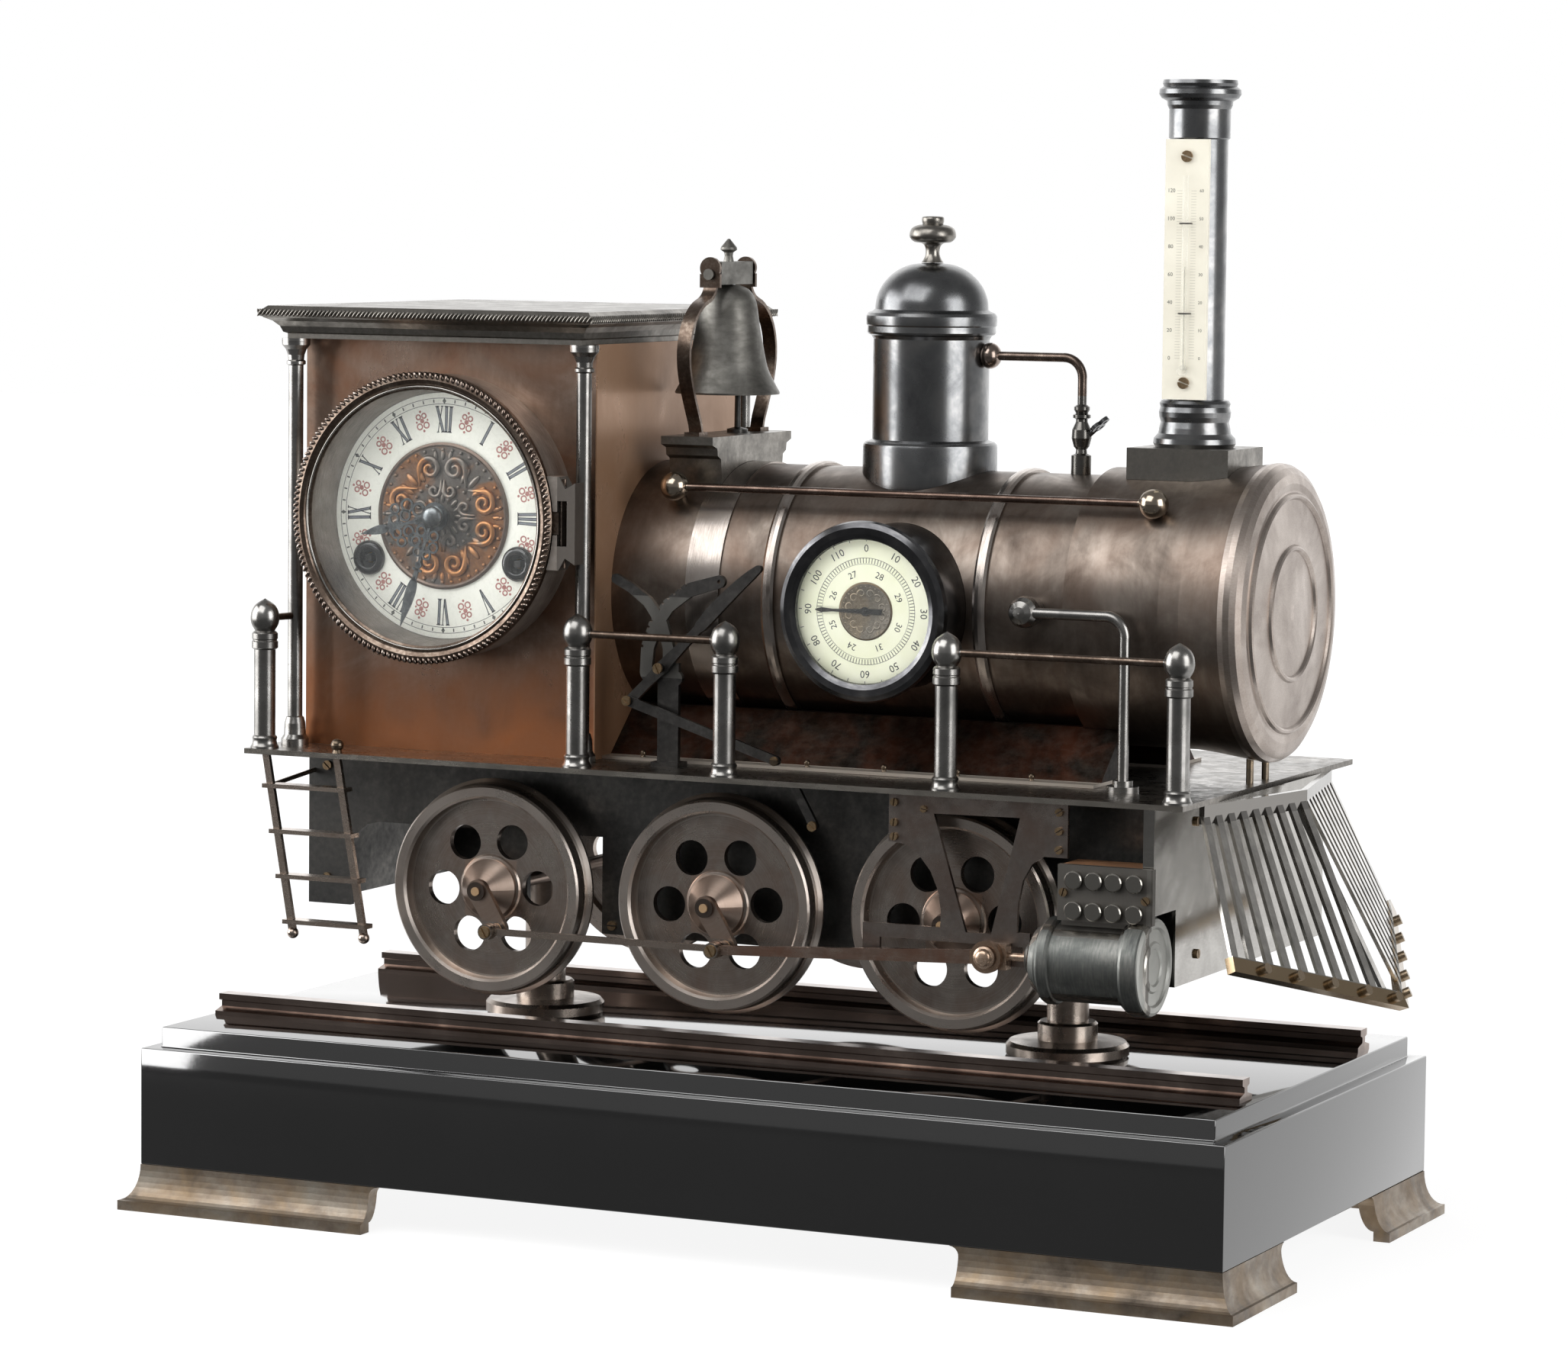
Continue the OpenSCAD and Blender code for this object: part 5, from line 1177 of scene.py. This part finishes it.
def make_posts():
    """The five turned posts with their round tops; stubs lead into the rails."""
    base = [(0, 193.1), (5.9, 193.1), (5.9, 193.9), (5.3, 194.7), (4.95, 196.3), (5.3, 197.5),
            (4.9, 198.2), (4.5, 198.5)]
    collar = [(4.5, 234.2), (5.0, 234.4), (5.5, 234.9), (5.5, 237.5), (5.1, 237.9), (5.1, 238.3),
              (5.4, 238.7), (5.4, 240.9), (4.9, 241.5), (4.2, 242.0)]
    ball = smooth([(4.3, 242.3), (5.5, 244.4), (6.0, 247.0), (5.6, 250.0), (4.3, 252.5),
                   (2.3, 254.1), (0.8, 254.9), (0, 255.4)], 4)
    post = upright(base + collar + ball, 0, 40)
    turned_posts = copies(post, [Matrix.Translation((x * MM, POST_Y * MM, 0)) for x in POSTS])
    stubs = []
    for x, side in ((POSTS[1], 1), (POSTS[2], -1), (POSTS[3], 1), (POSTS[4], -1)):
        bpy.ops.mesh.primitive_cylinder_add(vertices=24, radius=1.45 * MM, depth=2.4 * MM,
                                            location=at(x + side * 5.15, POST_Y, 247.2),
                                            rotation=(0, math.pi / 2, 0))
        stubs.append(bpy.context.active_object)
    finish_piece(join([turned_posts] + stubs), "posts_turned", "engine", column_metal,
                 35, ["posts"])


def make_dome():
    """The dome, turned: a skirt that sits on the barrel, a straight body, two rings and a round
    top."""
    low = [(25.8, 306.0), (27.6, 306.0), (27.6, 322.6), (27.3, 323.7), (26.4, 324.6), (25.0, 325.0),
           (23.8, 325.6), (23.8, 366.6), (24.6, 368.0), (25.9, 368.6), (26.3, 369.4), (26.2, 371.8),
           (26.7, 372.4), (26.8, 374.4), (26.7, 376.0), (25.9, 377.2), (24.2, 377.8)]
    top = smooth([(23.2, 378.6), (22.7, 382.8), (20.9, 387.4), (17.7, 391.6), (13.2, 395.0),
                  (7.6, 397.0), (0, 397.6)])
    inside = [(0, 396.0), (7.0, 395.4), (12.4, 393.6), (16.4, 390.4), (19.4, 386.6), (21.0, 382.4),
              (21.6, 378.0), (22.2, 366.0), (22.2, 326.8), (25.8, 322.0), (25.8, 306.0)]
    obj = upright(low + top + inside, DOME_X)
    bpy.ops.mesh.primitive_cylinder_add(vertices=192, radius=52.65 * MM, depth=0.08,
                                        location=at(DOME_X, 0, 260.8), rotation=(0, math.pi / 2, 0))
    barrel = bpy.context.active_object
    pick(obj)
    seat = obj.modifiers.new("seat", "BOOLEAN")
    seat.operation = "DIFFERENCE"
    seat.object = barrel
    seat.solver = "EXACT"
    bpy.ops.object.modifier_apply(modifier="seat")
    bpy.data.objects.remove(barrel)
    finish_piece(obj, "dome_turned", "engine", gun_metal, 28, ["dome"])
    neck = [(0, 397.65), (4.6, 397.65)]
    flare = [(3.9, 398.6), (2.9, 401.0), (3.1, 404.0), (4.6, 405.6), (7.4, 406.0), (9.2, 407.6),
             (9.5, 409.4), (8.6, 411.6), (6.4, 412.8), (4.2, 413.2)]
    button = [(4.5, 414.4), (4.5, 415.8), (3.6, 416.4), (0, 416.6)]
    finial = upright(neck + smooth(flare, 3) + smooth(button, 3), DOME_X, 48)
    finish_piece(finial, "dome_finial_turned", "engine", cornice_bronze, 40,
                 ["dome_finial"])


def make_bell():
    """The bell, turned, with a soft flare, and the two bowed straps that carry it."""
    outside = smooth([(4.6, 387.0), (8.2, 385.4), (10.6, 382.6), (12.0, 378.6), (13.0, 371.6),
                      (14.6, 362.6), (16.6, 353.2), (19.4, 347.0), (21.8, 342.6)])
    inside = smooth([(20.6, 341.8), (17.8, 346.6), (15.0, 353.2), (13.0, 362.6), (11.4, 371.6),
                     (10.4, 378.2), (9.2, 381.4), (7.4, 383.6), (0, 385.0)])
    finish_piece(upright([(0, 387.2)] + outside + [(21.7, 341.9)] + inside, BELL[0]), "bell_turned",
                 "bell", bell_metal, 35, ["bell"])
    spine = smooth([(17.0, 388.0), (17.3, 385.0), (21.0, 381.6), (29.0, 378.6), (36.0, 373.0),
                    (40.4, 365.0), (41.2, 356.0), (38.6, 346.5), (33.6, 336.5), (30.2, 330.0),
                    (29.0, 325.3)], 4)
    strap = lines([strip(spine, [0.8] * len(spine))], thick=5.8)
    strap.matrix_world = moved(BELL[0] - 2.9, 0, 0) @ TO_AHEAD @ strap.matrix_world
    eye = lines([circle(0, BELL[1] + 2.5, 4.6, 40), circle(0, BELL[1], 1.5, 24)], thick=1.6)
    lug = lines([[(-4.6, 386.0), (4.6, 386.0), (4.6, 391.6), (-4.6, 391.6)]], thick=1.55)
    foot = lines([[(-3.4, 325.3), (3.4, 325.3), (3.4, 326.9), (-3.4, 326.9)]], thick=8.0)
    for piece, y in ((eye, 17.8), (lug, 17.78), (foot, 33.5)):
        piece.matrix_world = moved(BELL[0], y, 0) @ TO_DIAL_SIDE @ piece.matrix_world
    arm = join([strap, eye, lug, foot])
    settle(arm)
    arms = copies(arm, [Matrix.Identity(4), Matrix.Scale(-1, 4, (0, 1, 0))])
    settle(arms)
    bpy.ops.object.mode_set(mode="EDIT")
    bpy.ops.mesh.select_all(action="SELECT")
    bpy.ops.mesh.normals_make_consistent(inside=False)
    bpy.ops.object.mode_set(mode="OBJECT")
    finish_piece(arms, "bell_straps", "engine", copper_brown, 35, ["bell_arms"])


make_numerals()
make_minute_track()
make_knots()
make_dial_relief()
make_eyelets()
make_hands()
make_rope_ring()
make_glass_ring()
make_cornice_rope()
make_barometer_face()
make_thermometer_face()
make_plinth()
make_lever()
make_pin_screws()
make_rod_cap()
make_pipe_knob()
make_posts()
make_dome()
make_bell()


# Floor, backdrop, light and camera

# How bright the backdrop's light is, and the dark room's on the camera's side
BACKDROP = 1.55
DARK_SIDE = 0.24

# Each lamp: azimuth and height in degrees, distance and sizes in metres, watts
LAMP_AIM_Z = 0.3
LAMPS = (
    ("left_softbox", -68, 12, 1.6, (1.3, 1.2), 28),
    ("right_softbox", 75, 12, 1.7, (1.0, 1.2), 17),
    ("front_softbox", -18, 44, 1.9, (1.6, 1.3), 21),
)


def make_floor():
    """A plain floor of pale paper. The camera sees it grow whiter with distance, with only faint
    shadows, and the metal mirrors a table that ends in front of the clock."""
    floor_size = 14.0
    whiter_from, whiter_to = 0.7, 1.8
    near_glow, far_glow, table_glow = 1.1, 1.35, 1.1
    table_fades_from, table_fades_to = -0.1, -0.14
    seen_share, mirrored_share = 0.8, 0.98
    bpy.ops.mesh.primitive_plane_add(size=floor_size, location=(0, 0, 0))
    floor = bpy.context.active_object
    floor.name = "floor"
    paper, tree, shader, place = new_finish("pale_floor_paper")
    fibres = add(tree, "TexNoise", {"Vector": place, "Scale": 12.0, "Detail": 3.0})
    whites = [(0.0, "#f4f4f3"), (1.0, "#f8f8f7")]
    tone = set_ramp(add(tree, "ValToRGB", {"Fac": fibres.outputs["Fac"]}), whites)
    tree.links.new(tone.outputs["Color"], shader.inputs["Base Color"])
    shader.inputs["Roughness"].default_value = 0.9

    # How much of the glow takes the paper's place, by the kind of ray
    rays = add(tree, "LightPath")
    seen = add(tree, "Math", {0: rays.outputs["Is Camera Ray"],
                              1: rays.outputs["Is Transmission Ray"]}, operation="MAXIMUM")
    mirrored = add(tree, "Math", {0: rays.outputs["Is Glossy Ray"], 1: mirrored_share},
                   operation="MULTIPLY")
    open_share = add(tree, "Math", {0: seen.outputs[0], 1: seen_share}, operation="MULTIPLY")
    share = add(tree, "Math", {0: mirrored.outputs[0], 1: open_share.outputs[0]},
                operation="MAXIMUM")

    # The glow that the camera sees, and the one that the metal mirrors
    away = add(tree, "VectorMath", {0: place}, operation="LENGTH")
    far = add(tree, "MapRange", {"Value": away.outputs["Value"], "From Min": whiter_from,
                                 "From Max": whiter_to, "To Min": near_glow, "To Max": far_glow})
    split = add(tree, "SeparateXYZ", {"Vector": place})
    table = add(tree, "MapRange", {"Value": split.outputs["Y"], "From Min": table_fades_to,
                                   "From Max": table_fades_from, "To Min": DARK_SIDE * 0.4,
                                   "To Max": table_glow})
    strength = add(tree, "Mix", {0: seen.outputs[0], 2: table.outputs["Result"],
                                 3: far.outputs["Result"]})
    white = add(tree, "Emission", {"Color": (1, 1, 1, 1), "Strength": strength.outputs[0]})
    both = add(tree, "MixShader", {0: share.outputs[0], 1: shader.outputs[0], 2: white.outputs[0]})
    tree.links.new(both.outputs[0], tree.nodes["Material Output"].inputs["Surface"])
    floor.data.materials.append(paper)


def make_backdrop():
    """A white backdrop behind the clock that fades into a dark room on the camera's side; the
    camera sees white."""
    white_side = (-0.40, 0.86, -0.32)
    white = (1.0, 1.0, 1.0, 1.0)
    fade = [(0.0, DARK_SIDE / BACKDROP), (0.3, DARK_SIDE), (0.45, 0.5), (0.58, 1.0), (1.0, 1.0)]
    world = bpy.data.worlds.new("studio")
    world.use_nodes = True
    bpy.context.scene.world = world
    sky = world.node_tree
    background = sky.nodes["Background"]
    direction = add(sky, "TexCoord").outputs["Generated"]
    behind = add(sky, "VectorMath", {0: direction, 1: white_side}, operation="DOT_PRODUCT")
    level = set_ramp(add(sky, "ValToRGB", {"Fac": behind.outputs["Value"]}), fade)
    rays = add(sky, "LightPath")
    seen = add(sky, "Math", {0: rays.outputs["Is Camera Ray"],
                             1: rays.outputs["Is Transmission Ray"]}, operation="MAXIMUM")
    shown = add(sky, "Mix", {0: seen.outputs[0], 6: level.outputs["Color"], 7: white},
                data_type="RGBA")
    sky.links.new(shown.outputs[2], background.inputs["Color"])
    strength = add(sky, "Mix", {0: seen.outputs[0], 2: BACKDROP, 3: 1.0})
    sky.links.new(strength.outputs[0], background.inputs["Strength"])


def make_lamps():
    """Three soft lamps round the clock, all aimed at a point above the plinth."""
    for name, azimuth, elevation, distance, size, watts in LAMPS:
        turn, lift = math.radians(azimuth), math.radians(elevation)
        flat = math.cos(lift)
        out = Vector((math.sin(turn) * flat, -math.cos(turn) * flat, math.sin(lift)))
        lamp = bpy.data.lights.new(name, "AREA")
        lamp.shape = "RECTANGLE"
        lamp.size, lamp.size_y = size
        lamp.energy = watts
        holder = bpy.data.objects.new(name, lamp)
        holder.location = Vector((0, 0, LAMP_AIM_Z)) + out * distance
        holder.rotation_euler = (-out).to_track_quat("-Z", "Y").to_euler()
        bpy.context.scene.collection.objects.link(holder)


def make_camera():
    """The camera, fitted to the plinth's edges and the round parts: a long lens a little above the
    plinth."""
    azimuth, elevation, roll = (math.radians(degrees) for degrees in (25.0128, 4.695, 0.6202))
    distance, target = 2.235521, Vector((-0.0154648, 0, 0.2458051))
    sensor_mm, focal_px, frame_px, rise_px = 36.0, 7054.4064, 2055, 74.83
    clip_end = 50
    flat = math.cos(elevation)
    back = Vector((math.sin(azimuth) * flat, -math.cos(azimuth) * flat, math.sin(elevation)))
    level = Vector((math.cos(azimuth), math.sin(azimuth), 0))
    up = back.cross(level)
    right = level * math.cos(roll) + up * math.sin(roll)
    top = up * math.cos(roll) - level * math.sin(roll)
    lens = bpy.data.cameras.new("camera")
    lens.sensor_fit = "HORIZONTAL"
    lens.sensor_width = sensor_mm
    lens.lens = focal_px / frame_px * sensor_mm
    lens.shift_y = -rise_px / frame_px
    lens.clip_end = clip_end
    camera = bpy.data.objects.new("camera", lens)
    aim = Matrix((right, top, back)).transposed().to_4x4()
    camera.matrix_world = Matrix.Translation(target + back * distance) @ aim
    bpy.context.scene.collection.objects.link(camera)
    bpy.context.scene.camera = camera


bpy.context.scene.view_settings.view_transform = "Standard"
make_floor()
make_backdrop()
make_lamps()
make_camera()
